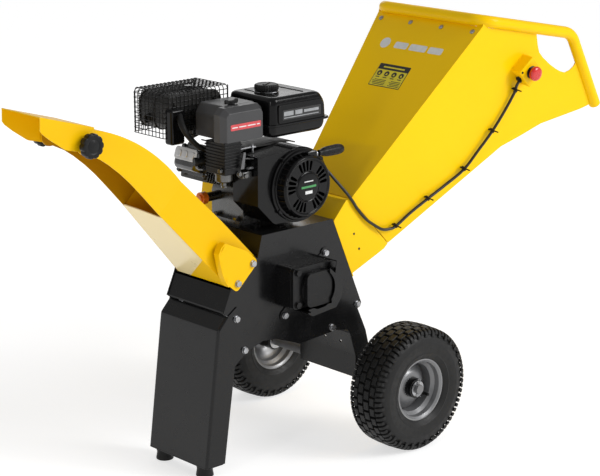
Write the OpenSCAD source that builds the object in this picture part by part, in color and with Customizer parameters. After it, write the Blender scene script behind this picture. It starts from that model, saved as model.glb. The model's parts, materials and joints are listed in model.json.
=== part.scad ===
// Wheeled petrol wood chipper: hopper, drum housing, discharge chute, engine.
// Everything is drawn from the wheel axle. +X points to the hopper, -X to the
// discharge chute, -Y to the recoil starter, +Z up, ground at Z = 0.

/* [Running gear] */
// Outer diameter of the pneumatic tyres
tyre_d = 330; // [326:1:332]
// Section width of a tyre
tyre_w = 116; // [108:1:118]
// Distance from the middle of the machine to the middle of a wheel
wheel_y = 280; // [276:1:290]
// Diameter of the axle
axle_d = 25; // [24:0.5:26]
/* [Housing] */
// Outer width of the drum housing over its two side plates
housing_w = 224; // [222:1:226]
// Thickness of the housing plates
plate_t = 4; // [3:0.5:4]
// Radius swept by the knives
knife_r = 128; // [124:1:130]
/* [Hopper and chute] */
// Thickness of the yellow sheet
sheet_t = 3; // [2:0.5:3]
// Outward splay of each hopper side panel in degrees
hopper_splay = 8.8; // [8.6:0.1:9]
// Diameter of the handle tube round the hopper mouth
tube_d = 32; // [30:1:33]
// Diameter of the deflector knobs
knob_d = 60; // [54:1:64]
/* [Engine] */
// Height of the crankshaft above the engine plate
crank_h = 107; // [106:1:108]
// Slope of the cylinder above horizontal in degrees
cylinder_tilt = 18; // [17:1:19]
// Diameter of the recoil starter rim
recoil_d = 190; // [184:1:192]

/* [Hidden] */
$fn = 48;

// The frame's origin lies under the middle of the length; the axle is this far along it.
axle_x = 79.5;
wheel_r = tyre_d / 2;
side_y = housing_w / 2;
inner_y = side_y - plate_t;
fit = 0.06;
gap = 0.3;

// Rotor and crankshaft axes, X and Z
rotor = [-235, 455];
deck_z = 601;
crank = [-220, deck_z + crank_h];
drum_r = 100;
shaft_r = 15;
crank_r = 10;

// ---- helpers ----
// Draws from the wheel axle's plan position
module at_axle() translate([axle_x, 0, 0]) children();

// Extrudes an outline drawn in X and Z from y0 to y1
module xz_plate(y0, y1) translate([0, y1, 0]) rotate([90, 0, 0]) linear_extrude(y1 - y0) children();

// A round bar or hole along Y
module y_rod(p, y0, y1, r) translate([p[0], y1, p[1]]) rotate([90, 0, 0]) cylinder(h = y1 - y0, r = r);

// The children and their mirror image in the middle plane
module both_sides() {
  children();
  mirror([0, 1, 0]) children();
}

// The corners of a strip of thickness t laid to the left of the line from p to q
function strip(p, q, t) =
  let (d = q - p, n = [-d[1], d[0]] / norm(d) * t)
  [p, q, q + n, p + n];

// A band with a left-hand thickness t that follows a list of points
module band(points, t) {
  for (i = [0 : len(points) - 2]) polygon(strip(points[i], points[i + 1], t));
}

// A rectangle from [x0, z0] to [x1, z1] with rounded corners
module rounded(x0, z0, x1, z1, r) {
  translate([x0 + r, z0]) square([x1 - x0 - 2 * r, z1 - z0]);
  translate([x0, z0 + r]) square([x1 - x0, z1 - z0 - 2 * r]);
  for (x = [x0 + r, x1 - r], z = [z0 + r, z1 - r]) translate([x, z]) circle(r);
}

// Hexagon-head bolt from the face y = -face inward, with its nut against y = -inside
module side_bolt(p, face, inside, r = 4) {
  translate([p[0], -face, p[1]]) rotate([90, 0, 0]) cylinder(h = 5.5, r = 7.5, $fn = 6);
  translate([p[0], -face, p[1]]) rotate([90, 0, 0]) cylinder(h = 1.6, r = 9);
  y_rod(p, -face, -inside + 9, r);
  difference() {
    translate([p[0], -inside + 6.8, p[1]]) rotate([90, 0, 0]) cylinder(h = 6.5, r = 7.5, $fn = 6);
    y_rod(p, -inside - 1, -inside + 8, r + 0.1);
  }
}

// Bolt places on the side plates: leg, chute ears and axle brackets
leg_bolts = [[-445, 403], [-419, 316]];
ear_bolts = [[-390, 536], [-440, 494]];
bracket_bolts = [[-22, 354], [-113, 309]];
guard_bolts = [[-141, 517], [-282, 378]];
module bolt_holes(places) for (p = places) y_rod(p, -300, 300, 4.3);

// ---- housing ----
// Outline of one housing side plate
module housing_outline() polygon([
  [-356, deck_z], [-112, deck_z], [-6, 355], [-10, 346], [-18, 342], [-26, 344],
  [-102, 308], [-116, 297], [-227, 290], [-310, 321], [-354, 325], [-408, 308],
  [-436, 300], [-468, 340], [-468, 412], [-484, 425], [-459, 481], [-455, 492],
  [-474, 528], [-485, 574], [-474, 590], [-412, 562], [-370, 545]
]);

module housing_side() color([0.05, 0.05, 0.05]) at_axle() difference() {
  xz_plate(-side_y, -inner_y) housing_outline();
  y_rod(rotor, -side_y - 1, -inner_y + 1, 22);
  bolt_holes(concat(leg_bolts, ear_bolts, bracket_bolts));
}

module housing_near_plate() difference() {
  housing_side();
  at_axle() bolt_holes(guard_bolts);
}

module housing_far_plate() mirror([0, 1, 0]) housing_side();

// Trough round the drum, floor, front wall, rear wall, infeed bed
trough_r = knife_r + 8;
bed_start = [-102, 423.7];
bed_tilt = 9.4;
module housing_wrap() color([0.07, 0.07, 0.07]) at_axle() xz_plate(-inner_y, inner_y) {
  translate(rotor) difference() {
    circle(trough_r + plate_t);
    circle(trough_r);
    polygon([[0, 0], [300, -78], [300, 300], [-300, 300], [-300, -109]]);
  }
  band([[-482, 427], [-360, 403.5]], -plate_t);
  band([[-482, 425], [-458, 479]], -plate_t);
  band([[-366, 550], [-355, 600]], -plate_t);
  band([bed_start, [-46, 433]], -plate_t);
  band([[-17, 374], [-44, 436]], plate_t);
}

module engine_mount_plate() color([0.06, 0.06, 0.06]) at_axle() difference() {
  translate([-350, -inner_y, deck_z - 6]) cube([236, 2 * inner_y, 6]);
  for (x = engine_foot_x, y = engine_foot_y) translate([x, y, deck_z - 8]) cylinder(h = 10, r = 4.3);
}

// ---- leg ----
module leg_outline() polygon([
  [-549, 29], [-487, 33], [-458, 233], [-451, 279], [-436, 292], [-411, 307],
  [-417, 355], [-427, 402], [-443, 434], [-474, 415], [-504, 383]
]);

module support_leg() color([0.05, 0.05, 0.05]) at_axle() {
  both_sides() difference() {
    xz_plate(-side_y - 3, -side_y) leg_outline();
    bolt_holes(leg_bolts);
  }
  xz_plate(-side_y - 3, side_y + 3) band([[-548.9, 29.4], [-504, 383], [-474, 415]], -3);
  difference() {
    xz_plate(-side_y - 3, side_y + 3) polygon([[-549, 29], [-489, 29], [-488, 32], [-548, 32]]);
    for (y = [-80, 80]) translate([-525, y, 20]) cylinder(h = 20, r = 4);
  }
}

module rubber_feet() color([0.02, 0.02, 0.02]) at_axle() for (y = [-80, 80]) translate([-525, y, 0]) {
  cylinder(h = 29, r = 22.5);
  cylinder(h = 38, r = 3.9);
}

// ---- axle and wheels ----
module bracket_outline() {
  polygon([
    [-128, 318], [-20, 368], [-6, 355], [-16, 341], [15, 274], [40, 180],
    [-16, 190], [-45, 281], [-52, 288], [-100, 298], [-122, 298]
  ]);
  translate([10, 176]) circle(31);
}

module axle_brackets() color([0.05, 0.05, 0.05]) at_axle() difference() {
  union() {
    both_sides() xz_plate(-inner_y, -inner_y + plate_t) bracket_outline();
    xz_plate(-inner_y, inner_y) polygon([
      [-45, 281], [-41.2, 282.3], [-18, 215.2], [-18, 148], [-22, 148], [-22, 214.5]
    ]);
    xz_plate(-inner_y, inner_y) band([[14, 268], [-45, 281]], plate_t);
  }
  y_rod([0, wheel_r], -200, 200, axle_d / 2);
  bolt_holes(bracket_bolts);
  for (y = [-60, 0, 60]) translate([-35, y, 240]) rotate([0, 70, 0]) cylinder(h = 40, r = 4.2, center = true);
}

hub_in = wheel_y - 46;
hub_out = wheel_y + 34;
module axle() color([0.12, 0.12, 0.12]) at_axle() difference() {
  y_rod([0, wheel_r], -hub_out - 12, hub_out + 12, axle_d / 2);
  both_sides() translate([0, -hub_out - 7, 100]) cylinder(h = 130, r = 2.1);
}

// Thrust washers, split pins and inboard washers of both wheels
module wheel_retainers() color([0.8, 0.8, 0.8]) at_axle() both_sides() {
  difference() {
    y_rod([0, wheel_r], -hub_out - 3.3, -hub_out - gap, 21);
    y_rod([0, wheel_r], -hub_out - 9, -hub_out + 1, axle_d / 2);
  }
  difference() {
    y_rod([0, wheel_r], -hub_in + gap, -hub_in + 3.3, 22);
    y_rod([0, wheel_r], -hub_in - 1, -hub_in + 9, axle_d / 2);
  }
  translate([0, -hub_out - 7, wheel_r - 19]) cylinder(h = 40, r = 2);
  translate([0, -hub_out - 7, wheel_r + 21]) sphere(4.5);
}

// Place of the valve stem in the wheel disc
stem_x = 45;
stem_y = -28;
// Half section of the pressed steel wheel: X is radius, Y is the way outboard
module rim_section() {
  polygon([
    [93.5, 49], [93.5, 46], [80, 43], [77, 39], [76, 26], [67, 19], [67, -19], [76, -26],
    [77, -39], [80, -43], [93.5, -46], [93.5, -49], [78, -47], [74, -42], [73, -28],
    [64, -21], [64, -14], [58, -8], [46, 4], [32, 11], [22, 11], [22, 14], [33, 14],
    [47, 8], [60, -4], [64, -9], [64, 21], [73, 28], [74, 42], [78, 47]
  ]);
  translate([axle_d / 2 + fit, -46]) square([26 - axle_d / 2, 80]);
}

// One wheel turned onto its axle, near side, outboard face towards -Y
module on_hub() at_axle() translate([0, -wheel_y, wheel_r]) rotate([90, 0, 0]) children();

module wheel_rim_near() color([0.42, 0.43, 0.44]) on_hub() difference() {
  rotate_extrude() rim_section();
  translate([stem_x, stem_y, -20]) cylinder(h = 60, r = 4.6);
}

module wheel_rim_far() mirror([0, 1, 0]) wheel_rim_near();

bead_gap = 0.05;
// Half section of the tyre: two rounded shoulders under a flat tread, hollow inside
module tyre_section() difference() {
  intersection() {
    union() {
      for (s = [-1, 1]) translate([wheel_r - 47, s * (tyre_w / 2 - 40)]) circle(40);
      translate([wheel_r - 87, -tyre_w / 2 + 40]) square([80, tyre_w - 80]);
      translate([wheel_r - 18, -tyre_w / 2 + 12]) square([18, tyre_w - 24]);
    }
    translate([76 + bead_gap, -80]) square([wheel_r - 76 - bead_gap, 160]);
  }
  for (s = [-1, 1]) translate([wheel_r - 47, s * (tyre_w / 2 - 40)]) circle(31);
  translate([wheel_r - 78, -tyre_w / 2 + 40]) square([62, tyre_w - 80]);
  translate([0, -39]) square([77 + bead_gap, 78]);
  for (s = [-1, 1]) translate([84, s * 50]) square([24, 13.2], center = true);
  for (s = [-1, 1]) translate([wheel_r - 4.5, s * 17]) square([20, 5], center = true);
}

tread_lugs = 30;
module tyre_near() color([0.03, 0.03, 0.03]) on_hub() difference() {
  rotate_extrude() tyre_section();
  for (i = [0 : tread_lugs - 1], s = [0, 1])
    rotate([0, 0, (i + s / 2) * 360 / tread_lugs]) mirror([0, 0, s])
      translate([wheel_r - 6, 0, tyre_w / 4 + 8]) rotate([20, 0, 0]) cube([13, 7, 44], center = true);
}

module tyre_far() mirror([0, 1, 0]) tyre_near();

module valve_stem_near() color([0.03, 0.03, 0.03]) on_hub() {
  translate([stem_x, stem_y, -8]) cylinder(h = 32, r = 4.5);
  translate([stem_x, stem_y, 24]) cylinder(h = 9, r = 3.4);
}

module valve_stem_far() mirror([0, 1, 0]) valve_stem_near();

// ---- rotor and bearings ----
box_out = side_y + 54;
module bearing_standoff() color([0.05, 0.05, 0.05]) at_axle() difference() {
  xz_plate(-box_out, -side_y) difference() {
    rounded(-309, 410, -165, 517, 8);
    rounded(-304, 415, -170, 512, 5);
  }
}

flange_bolts = [[-58, -34], [54, -34], [-58, 50], [54, 50]];

module flange_bearing_near() color([0.12, 0.12, 0.12]) at_axle() difference() {
  translate([rotor[0], 0, rotor[1]]) {
    xz_plate(-box_out - 10, -box_out) rounded(-74, -45, 70, 62, 10);
    xz_plate(-box_out - 16, -box_out - 10) circle(48);
    xz_plate(-box_out - 26, -box_out - 16) rounded(-40, -43, 46, 45, 14);
    for (p = flange_bolts) xz_plate(-box_out - 16, -box_out - 10) translate(p) circle(9, $fn = 6);
  }
  y_rod(rotor, -box_out - 22, -box_out + 1, shaft_r + fit);
}

module flange_bearing_far() color([0.12, 0.12, 0.12]) at_axle() difference() {
  translate([rotor[0], 0, rotor[1]]) {
    xz_plate(side_y, side_y + 10) rounded(-60, -60, 60, 60, 12);
    xz_plate(side_y + 10, side_y + 18) circle(42);
  }
  y_rod(rotor, side_y - 1, side_y + 20, shaft_r + fit);
}

// Folded guard: face over the lower right of the bearing, two walls, two bolted tabs
guard_y = box_out + 32;
module bearing_guard() color([0.05, 0.05, 0.05]) at_axle() difference() {
  union() {
    xz_plate(-guard_y, -guard_y + 3) difference() {
      polygon([[-203, 505], [-182, 487], [-182, 424], [-200, 402], [-262, 398], [-278, 410], [-196, 412]]);
      translate(rotor) circle(50);
    }
    xz_plate(-guard_y, -side_y) {
      polygon(strip([-160, 487], [-160, 424], -3));
      polygon(strip([-160, 424], [-180, 398], -3));
      polygon(strip([-180, 398], [-262, 390], -3));
      polygon(strip([-262, 390], [-278, 400], -3));
      polygon(strip([-178, 520], [-160, 487], -3));
    }
    xz_plate(-guard_y, -guard_y + 3)
      polygon([[-180, 518], [-160, 487], [-160, 424], [-180, 398], [-262, 390], [-276, 399],
        [-262, 404], [-196, 410], [-184, 424], [-184, 487]]);
    xz_plate(-side_y - 3, -side_y) {
      translate(guard_bolts[0]) circle(15);
      polygon([[-156, 518], [-141, 502], [-158, 484], [-178, 506]]);
      translate(guard_bolts[1]) circle(15);
      polygon([[-296, 383], [-268, 372], [-250, 390], [-276, 404]]);
    }
  }
  bolt_holes(guard_bolts);
  xz_plate(-box_out - 30, -side_y + 1) rounded(-309.5, 409.5, -164.5, 518, 8);
}

module rotor_shaft() color([0.55, 0.55, 0.57]) at_axle() y_rod(rotor, -box_out - 21, side_y + 62, shaft_r);

knife_l = 180;
module knife_slot(grow) for (a = [20, 140, 260]) translate([rotor[0], 0, rotor[1]]) rotate([0, -a, 0])
  translate([80 - grow, -knife_l / 2 - grow, -6 - grow]) cube([knife_r - 81 + grow, knife_l + 2 * grow, 12 + 2 * grow]);

module rotor_drum() color([0.35, 0.35, 0.36]) at_axle() difference() {
  y_rod(rotor, -92, 92, drum_r);
  y_rod(rotor, -93, 93, shaft_r);
  knife_slot(0);
}

module rotor_knives() color([0.7, 0.7, 0.72]) at_axle() knife_slot(0);

module counter_knife() color([0.7, 0.7, 0.72]) at_axle()
  translate([bed_start[0], 0, bed_start[1]]) rotate([0, -bed_tilt, 0])
    translate([-5, -knife_l / 2, 0.05]) cube([36, knife_l, 8]);

// ---- belt drive, far side ----
belt_y0 = side_y + 34;
belt_y1 = belt_y0 + 22;
rotor_pulley_r = 62;
crank_pulley_r = 41;
// Half section of a V pulley: X radius, Y width
module pulley_section(bore, r, w) difference() {
  translate([bore, 0]) square([r - bore, w]);
  polygon([[r - 13, w / 2 - 3], [r + 1, w / 2 - 8], [r + 1, w / 2 + 8], [r - 13, w / 2 + 3]]);
}

module rotor_pulley() color([0.3, 0.3, 0.31]) at_axle() translate([rotor[0], belt_y1, rotor[1]])
  rotate([90, 0, 0]) rotate_extrude() pulley_section(shaft_r, rotor_pulley_r, 22);

module clutch_pulley() color([0.3, 0.3, 0.31]) at_axle() translate([crank[0], belt_y1, crank[1]])
  rotate([90, 0, 0]) rotate_extrude() pulley_section(crank_r, crank_pulley_r, 22);

shaft_run = [rotor[0] - crank[0], rotor[1] - crank[1]];
// Outline of a loop round both pulleys, drawn from the crank towards the rotor along X
module loop_outline(r1, r2) {
  run = norm(shaft_run);
  lean = asin((r2 - r1) / run);
  circle(r1);
  translate([run, 0]) circle(r2);
  for (s = [-1, 1]) polygon([
    [0, 0], (r1 - 0.05) * [-sin(lean), s * cos(lean)],
    [run, 0] + (r2 - 0.05) * [-sin(lean), s * cos(lean)], [run, 0]
  ]);
}

module along_belt(y0, y1) translate([crank[0], 0, crank[1]]) rotate([0, -atan2(shaft_run[1], shaft_run[0]), 0])
  xz_plate(y0, y1) children();

belt_mid = (belt_y0 + belt_y1) / 2;
// One layer of the belt between two depths below the pulley rims
module belt_layer(half_w, top, bottom) along_belt(belt_mid - half_w, belt_mid + half_w) difference() {
  loop_outline(crank_pulley_r - top, rotor_pulley_r - top);
  loop_outline(crank_pulley_r - bottom, rotor_pulley_r - bottom);
}

module drive_belt() color([0.04, 0.04, 0.04]) at_axle() {
  belt_layer(5, 2, 6.1);
  belt_layer(3.6, 6, 10);
}

cover_y0 = side_y + 15;
cover_y1 = belt_y1 + 14;
module belt_cover() color([0.98, 0.8, 0.02]) at_axle() {
  difference() {
    along_belt(cover_y0, cover_y1) loop_outline(76, 96);
    along_belt(cover_y0 - 1, cover_y1 - sheet_t) loop_outline(76 - sheet_t, 96 - sheet_t);
  }
  for (p = [[-318, 500], [-152, 500], [-235, 372]]) y_rod(p, side_y, cover_y1 - sheet_t, 6);
}

// ---- discharge chute ----
chute_foot = [-456, 485];
chute_lean = 132.15;
chute_half = 98;
chute_end_half = 71;
chute_taper = 5.4;
pivot = [-858, 900];
// Draws along the chute: X up the slope, Z the depth towards the engine
module chute_frame() translate([chute_foot[0], 0, chute_foot[1]]) rotate([0, -chute_lean, 0]) mirror([0, 0, 1]) children();

module chute_tip_outline() {
  polygon([
    [283, 0], [367, 0], [448, -4], [526, -18], [570, -54], [600, -20],
    [586, 18], [567, 31], [515, 60], [454, 84], [379, 95], [283, 100]
  ]);
  translate([577, -19]) circle(36);
}

ear = [[-477, 603], [-409, 573], [-370, 538], [-442, 472], [-466, 491], [-485, 525], [-497, 578]];
module discharge_chute() color([0.98, 0.8, 0.02]) at_axle() difference() {
  union() {
    chute_frame() {
      both_sides() translate([0, -chute_half, 0]) rotate([0, 0, chute_taper])
        xz_plate(0, sheet_t) polygon([[0, 0], [287, 0], [290, 100], [132, 109], [-34, 107]]);
      both_sides() xz_plate(-chute_end_half, -chute_end_half + sheet_t) chute_tip_outline();
      linear_extrude(sheet_t) polygon([[0, -98], [286, -71], [286, 71], [0, 98]]);
      translate([-34, 0, 107]) rotate([0, 1.3, 0]) translate([0, 0, -sheet_t])
        linear_extrude(sheet_t) polygon([[0, -101], [323, -70.5], [323, 70.5], [0, 101]]);
      xz_plate(-chute_end_half, chute_end_half) intersection() {
        translate([320, -376.6]) difference() {
          circle(476.6, $fn = 180);
          circle(476.6 - sheet_t, $fn = 180);
        }
        polygon([[286, 80], [286, 120], [500, 110], [584, 40], [584, 0]]);
      }
    }
    both_sides() xz_plate(-side_y - 3.8, -side_y - 0.2) polygon(ear);
    both_sides() xz_plate(-side_y - 2, -90) polygon([
      [-465.1, 491.5], [-484.1, 525.4], [-495.9, 577.8], [-476.2, 602.4],
      [-479.3, 604.9], [-500.2, 578.7], [-487.8, 523.9], [-468.6, 489.5]
    ]);
  }
  bolt_holes(ear_bolts);
  y_rod(pivot, -100, 100, 4.4);
}

// ---- deflector ----
deflector_half = 75.7;
module deflector() color([0.98, 0.8, 0.02]) at_axle() difference() {
  union() {
    both_sides() xz_plate(-deflector_half, -deflector_half + 2.5) {
      polygon([[-985, 982], [-986, 950], [-979, 943], [-958, 925], [-917, 897], [-880, 886], [-845, 879],
        [-824, 900], [-835, 938]]);
      translate(pivot) circle(22);
    }
    xz_plate(-deflector_half, deflector_half) polygon(strip([-835, 938], [-985, 982], 2.5));
  }
  y_rod(pivot, -100, 100, 4.4);
}

module deflector_knob_near() color([0.03, 0.03, 0.03]) at_axle() {
  difference() {
    y_rod(pivot, -103, -85, knob_d / 2);
    for (a = [0 : 36 : 324])
      y_rod([pivot[0] + (knob_d / 2 + 3) * cos(a), pivot[1] + (knob_d / 2 + 3) * sin(a)], -104, -84, 5.5);
    y_rod(pivot, -104, -101, 16);
  }
  y_rod(pivot, -85, -deflector_half - gap, 12);
  y_rod(pivot, -deflector_half - 1, -58, 4);
  y_rod(pivot, -66, -60, 8);
}

module deflector_knob_far() mirror([0, 1, 0]) deflector_knob_near();

// ---- hopper ----
crease_top = [-40, 641];
hopper_slope = 43.99;
throat_half = 105;
// Draws along the hopper: X up the slope from the fold with the throat, Z towards the engine
module hopper_frame() translate([crease_top[0], 0, crease_top[1]]) rotate([0, -hopper_slope, 0]) children();

// Draws in the plane of the near side panel, its outer face at Y = 0
module panel_frame() hopper_frame() translate([0, -throat_half, 0]) rotate([0, 0, -hopper_splay]) children();

// Draws in the plane of the back panel, which leans away a little more than the hopper does
module back_frame() hopper_frame() rotate([0, -2.52, 0]) children();

// Width of half the hopper at a distance up the slope
function hopper_half(x) = throat_half + x * tan(hopper_splay);

// Corner points of the handle tube along the hopper
tube_lift = 1.5;
tube_end = [729, -482];
tube_low = [788, -239];
tube_high = [594, 35];
function in_panel(p, side) = [
  p[0] * cos(hopper_splay) + tube_lift * sin(hopper_splay),
  side * (throat_half + p[0] * sin(hopper_splay) - tube_lift * cos(hopper_splay)),
  p[1]
];
tube_corners = [
  in_panel(tube_end, -1), in_panel(tube_low, -1), in_panel(tube_high, -1),
  in_panel(tube_high, 1), in_panel(tube_low, 1), in_panel(tube_end, 1)
];
function unit(v) = v / norm(v);

// Points along a bend of radius r at corner c between points a and b, in n steps
function bend(a, c, b, r, n) =
  let (
    back = unit(a - c), ahead = unit(b - c), half = acos(-back * ahead) / 2,
    centre = c + unit(back + ahead) * r / cos(half), u = unit(c + back * r * tan(half) - centre)
  )
  [for (k = [0 : n]) centre + r * (cos(k * 2 * half / n) * u - sin(k * 2 * half / n) * back)];

tube_line = concat(
  [tube_corners[0]],
  bend(tube_corners[0], tube_corners[1], tube_corners[2], 60, 3),
  bend(tube_corners[1], tube_corners[2], tube_corners[3], 45, 4),
  bend(tube_corners[2], tube_corners[3], tube_corners[4], 45, 4),
  bend(tube_corners[3], tube_corners[4], tube_corners[5], 60, 3),
  [tube_corners[5]]
);

// The handle tube as straight lengths with a slightly fuller joint at each bend point
module handle_solid(r) hopper_frame() {
  for (i = [0 : len(tube_line) - 2]) {
    d = tube_line[i + 1] - tube_line[i];
    translate(tube_line[i]) rotate([0, acos(d[2] / norm(d)), atan2(d[1], d[0])]) cylinder(h = norm(d), r = r);
  }
  for (i = [1 : len(tube_line) - 2]) translate(tube_line[i]) sphere(r + 0.6);
}

module handle_tube() color([0.98, 0.8, 0.02]) at_axle() handle_solid(tube_d / 2);

// Hand opening below the tube
module hand_cutout() polygon([
  [730, -110], [700, -140], [684, -170], [676, -190], [676, -212], [682, -250], [689, -277],
  [696, -297], [706, -314], [722, -323], [738, -325], [760, -318], [790, -280], [770, -150]
]);

screw_y = [-170, -57, 57, 170];
// Folded lower panel of the hopper, seen along Y
floor_line = [
  [0.6, -200], [418, -300], [552, -364], [700, -462], [701.7, -459.5], [553.5, -361.4], [419, -297.2], [1.3, -197.1]
];
module floor_panel() intersection() {
  xz_plate(-230, 230) polygon(floor_line);
  translate([0, 0, -500]) linear_extrude(400) polygon([
    [-5, 1 - hopper_half(-5)], [720, 1 - hopper_half(720)], [720, hopper_half(720) - 1], [-5, hopper_half(-5) - 1]
  ]);
}

module hopper_shell() color([0.98, 0.8, 0.02]) at_axle() difference() {
  union() {
    both_sides() panel_frame() xz_plate(0, sheet_t) difference() {
      polygon([
        [0.6, 0], [581, 25.4], [600, 35], [764, -205], [783, -238], [781, -268], [729, -480],
        [714, -466], [685, -450], [558, -364], [491, -334], [423, -301], [0.6, -200]
      ]);
      hand_cutout();
    }
    back_frame() translate([0.6, 0, -sheet_t]) linear_extrude(sheet_t)
      polygon([[0, -104], [578, -193.5], [578, 193.5], [0, 104]]);
    hopper_frame() floor_panel();
  }
  handle_solid(tube_d / 2 + 0.1);
  back_frame() for (y = screw_y) translate([556, y, -10]) cylinder(h = 20, r = 3.2);
  panel_frame() estop_hole();
}

module hopper_throat() color([0.98, 0.8, 0.02]) at_axle() difference() {
  union() {
    both_sides() xz_plate(-throat_half, -throat_half + sheet_t)
      polygon([[-104, 589], [-57, 640], [-41, 640.5], [98, 496], [84, 484], [-37, 437]]);
    xz_plate(-throat_half, throat_half) {
      band([[-41, 640.5], [-57, 640], [-104, 589]], sheet_t);
      band([[-37, 437], [84, 484], [97.5, 496]], sheet_t);
    }
    xz_plate(-side_y, side_y) polygon(strip([-106.5, 591], [-38, 432.5], sheet_t));
  }
  xz_plate(-throat_half + sheet_t, throat_half - sheet_t) polygon([[-120, 584], [-80, 600], [0, 480], [-38, 441.5], [-60, 441]]);
}

module hopper_screws() color([0.75, 0.75, 0.76]) at_axle() back_frame() for (y = screw_y) translate([556, y, 0.05]) {
  cylinder(h = 3.4, r = 6.2);
  translate([0, 0, -12]) cylinder(h = 13, r = 3);
}

// ---- emergency stop ----
box_centre = [607, -182];
box_depth = 36;
module estop_hole() translate([box_centre[0], -1, box_centre[1]]) rotate([-90, 0, 0]) cylinder(h = 10, r = 6);

module estop_box() color([0.98, 0.8, 0.02]) at_axle() panel_frame() difference() {
  translate([box_centre[0], 0, box_centre[1]]) {
    xz_plate(-box_depth, -0.1) difference() {
      square([60, 64], center = true);
      square([55, 59], center = true);
    }
    xz_plate(-box_depth, -box_depth + 2.5) square([60, 64], center = true);
  }
  translate([box_centre[0], 0, box_centre[1]]) xz_plate(-box_depth - 1, 0) circle(8.4);
}

module estop_button() color([0.85, 0.06, 0.05]) at_axle() panel_frame() translate([box_centre[0], 0, box_centre[1]]) {
  xz_plate(-box_depth - 24, -box_depth - 11) circle(20);
  xz_plate(-box_depth - 11, -box_depth + 12) circle(8);
}

// Route of the stop cable as X, Y, Z from the wheel axle
cable_route = [
  [492, -210, 900], [489, -203, 885], [486, -198, 865], [456, -189, 815], [419, -181, 766],
  [376, -171, 718], [331, -161, 671], [274, -149, 636], [213, -140, 605], [159, -130, 575],
  [110, -122, 544], [88, -120, 540], [64, -117, 543], [38, -115, 558], [10, -113, 578],
  [-22, -111, 612], [-40, -111, 636], [-56, -104, 660], [-74, -86, 690], [-92, -71, 718], [-110, -62, 740],
  [-124, -58, 750]
];

// Smooth point between four route points, t from 0 to 1
function spline(a, b, c, d, t) =
  0.5 * ((2 * b) + (c - a) * t + (2 * a - 5 * b + 4 * c - d) * t * t + (3 * b - a - 3 * c + d) * t * t * t);
function dense(p, n) = [
  for (i = [0 : len(p) - 2], k = [0 : n - 1])
    spline(p[max(i - 1, 0)], p[i], p[i + 1], p[min(i + 2, len(p) - 1)], k / n),
  p[len(p) - 1]
];
function ring(c, dir, r, n) =
  let (side = unit(cross(dir, [0, 0.3, 1])), up = cross(side, dir))
  [for (k = [0 : n - 1]) c + r * (cos(k * 360 / n) * side + sin(k * 360 / n) * up)];

// Round tube swept along a route
module swept_tube(route, r, n) {
  last = len(route) - 1;
  dirs = [for (i = [0 : last]) unit(route[min(i + 1, last)] - route[max(i - 1, 0)])];
  rings = [for (i = [0 : last]) each ring(route[i], dirs[i], r, n)];
  sides = [for (i = [0 : last - 1], k = [0 : n - 1])
    [i * n + k, i * n + (k + 1) % n, (i + 1) * n + (k + 1) % n, (i + 1) * n + k]];
  start = [[for (k = [n - 1 : -1 : 0]) k]];
  end = [[for (k = [0 : n - 1]) last * n + k]];
  polyhedron(rings, concat(sides, start, end), convexity = 10);
}

module estop_cable() color([0.03, 0.03, 0.03]) at_axle() swept_tube(dense(cable_route, 3), 4, 8);

clip_places = [[547, -203], [423, -229], [293, -236], [160, -202], [43, -174]];
module cable_clips() color([0.06, 0.06, 0.06]) at_axle() panel_frame() for (p = clip_places)
  translate([p[0], 0, p[1]]) difference() {
    translate([-3, -18, -11]) cube([6, 17.9, 22]);
    translate([0, -8.9, 0]) cube([7, 14.2, 18], center = true);
  }

// ---- engine ----
engine_foot_x = [-329, -139];
engine_foot_y = [20, 95];
block_y0 = 0;
block_y1 = side_y + 10;
module crank_at() translate([crank[0], 0, crank[1]]) children();

// Draws along the cylinder: X from the crank to the head, Z downwards
module cylinder_frame() crank_at() rotate([0, -(180 - cylinder_tilt), 0]) translate([0, 61, 0]) children();

module crankcase() color([0.62, 0.62, 0.63]) at_axle() difference() {
  union() {
    difference() {
      union() {
        translate([-338, -5, deck_z]) cube([208, 122, 12]);
        xz_plate(block_y0, block_y1) {
          translate([-320, deck_z + 11]) square([172, 80]);
          translate(crank) circle(86);
        }
      }
      cylinder_frame() translate([84, -100, -120]) cube([200, 200, 220]);
    }
    xz_plate(block_y1, block_y1 + 6) translate(crank) circle(40);
    translate([-319, 92, 664]) rotate([0, -90, 0]) cylinder(h = 49, r = 12);
  }
  y_rod(crank, block_y0 + 10, block_y1 - 10, 62);
  y_rod(crank, -20, block_y1 + 8, crank_r + fit);
  for (x = engine_foot_x, y = engine_foot_y) translate([x, y, deck_z - 1]) cylinder(h = 20, r = 4.3);
}

module engine_bolts() color([0.78, 0.78, 0.78]) at_axle() for (x = engine_foot_x, y = engine_foot_y)
  translate([x, y, deck_z]) {
    translate([0, 0, 12]) cylinder(h = 6, r = 7.5, $fn = 6);
    translate([0, 0, -14]) cylinder(h = 27, r = 4);
  }

fins = 12;
module cylinder_block() color([0.6, 0.6, 0.61]) at_axle() cylinder_frame() difference() {
  union() {
    translate([86, -42, -36]) cube([126, 84, 72]);
    for (i = [0 : fins - 1]) translate([112 + i * 8.4, -51, -47]) cube([3, 102, 90]);
  }
  translate([60, 0, 0]) rotate([0, 90, 0]) cylinder(h = 120, r = 34);
}

module valve_cover() color([0.72, 0.72, 0.73]) at_axle() cylinder_frame() difference() {
  union() {
    translate([212, 0, 0]) rotate([0, 90, 0]) linear_extrude(6) rounded(-34, -51, 34, 51, 10);
    translate([218, 0, 0]) rotate([0, 90, 0]) linear_extrude(32) rounded(-29, -46, 29, 46, 14);
  }
  translate([211, 0, 0]) rotate([0, 90, 0]) linear_extrude(35) rounded(-25, -42, 25, 42, 11);
}

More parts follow.
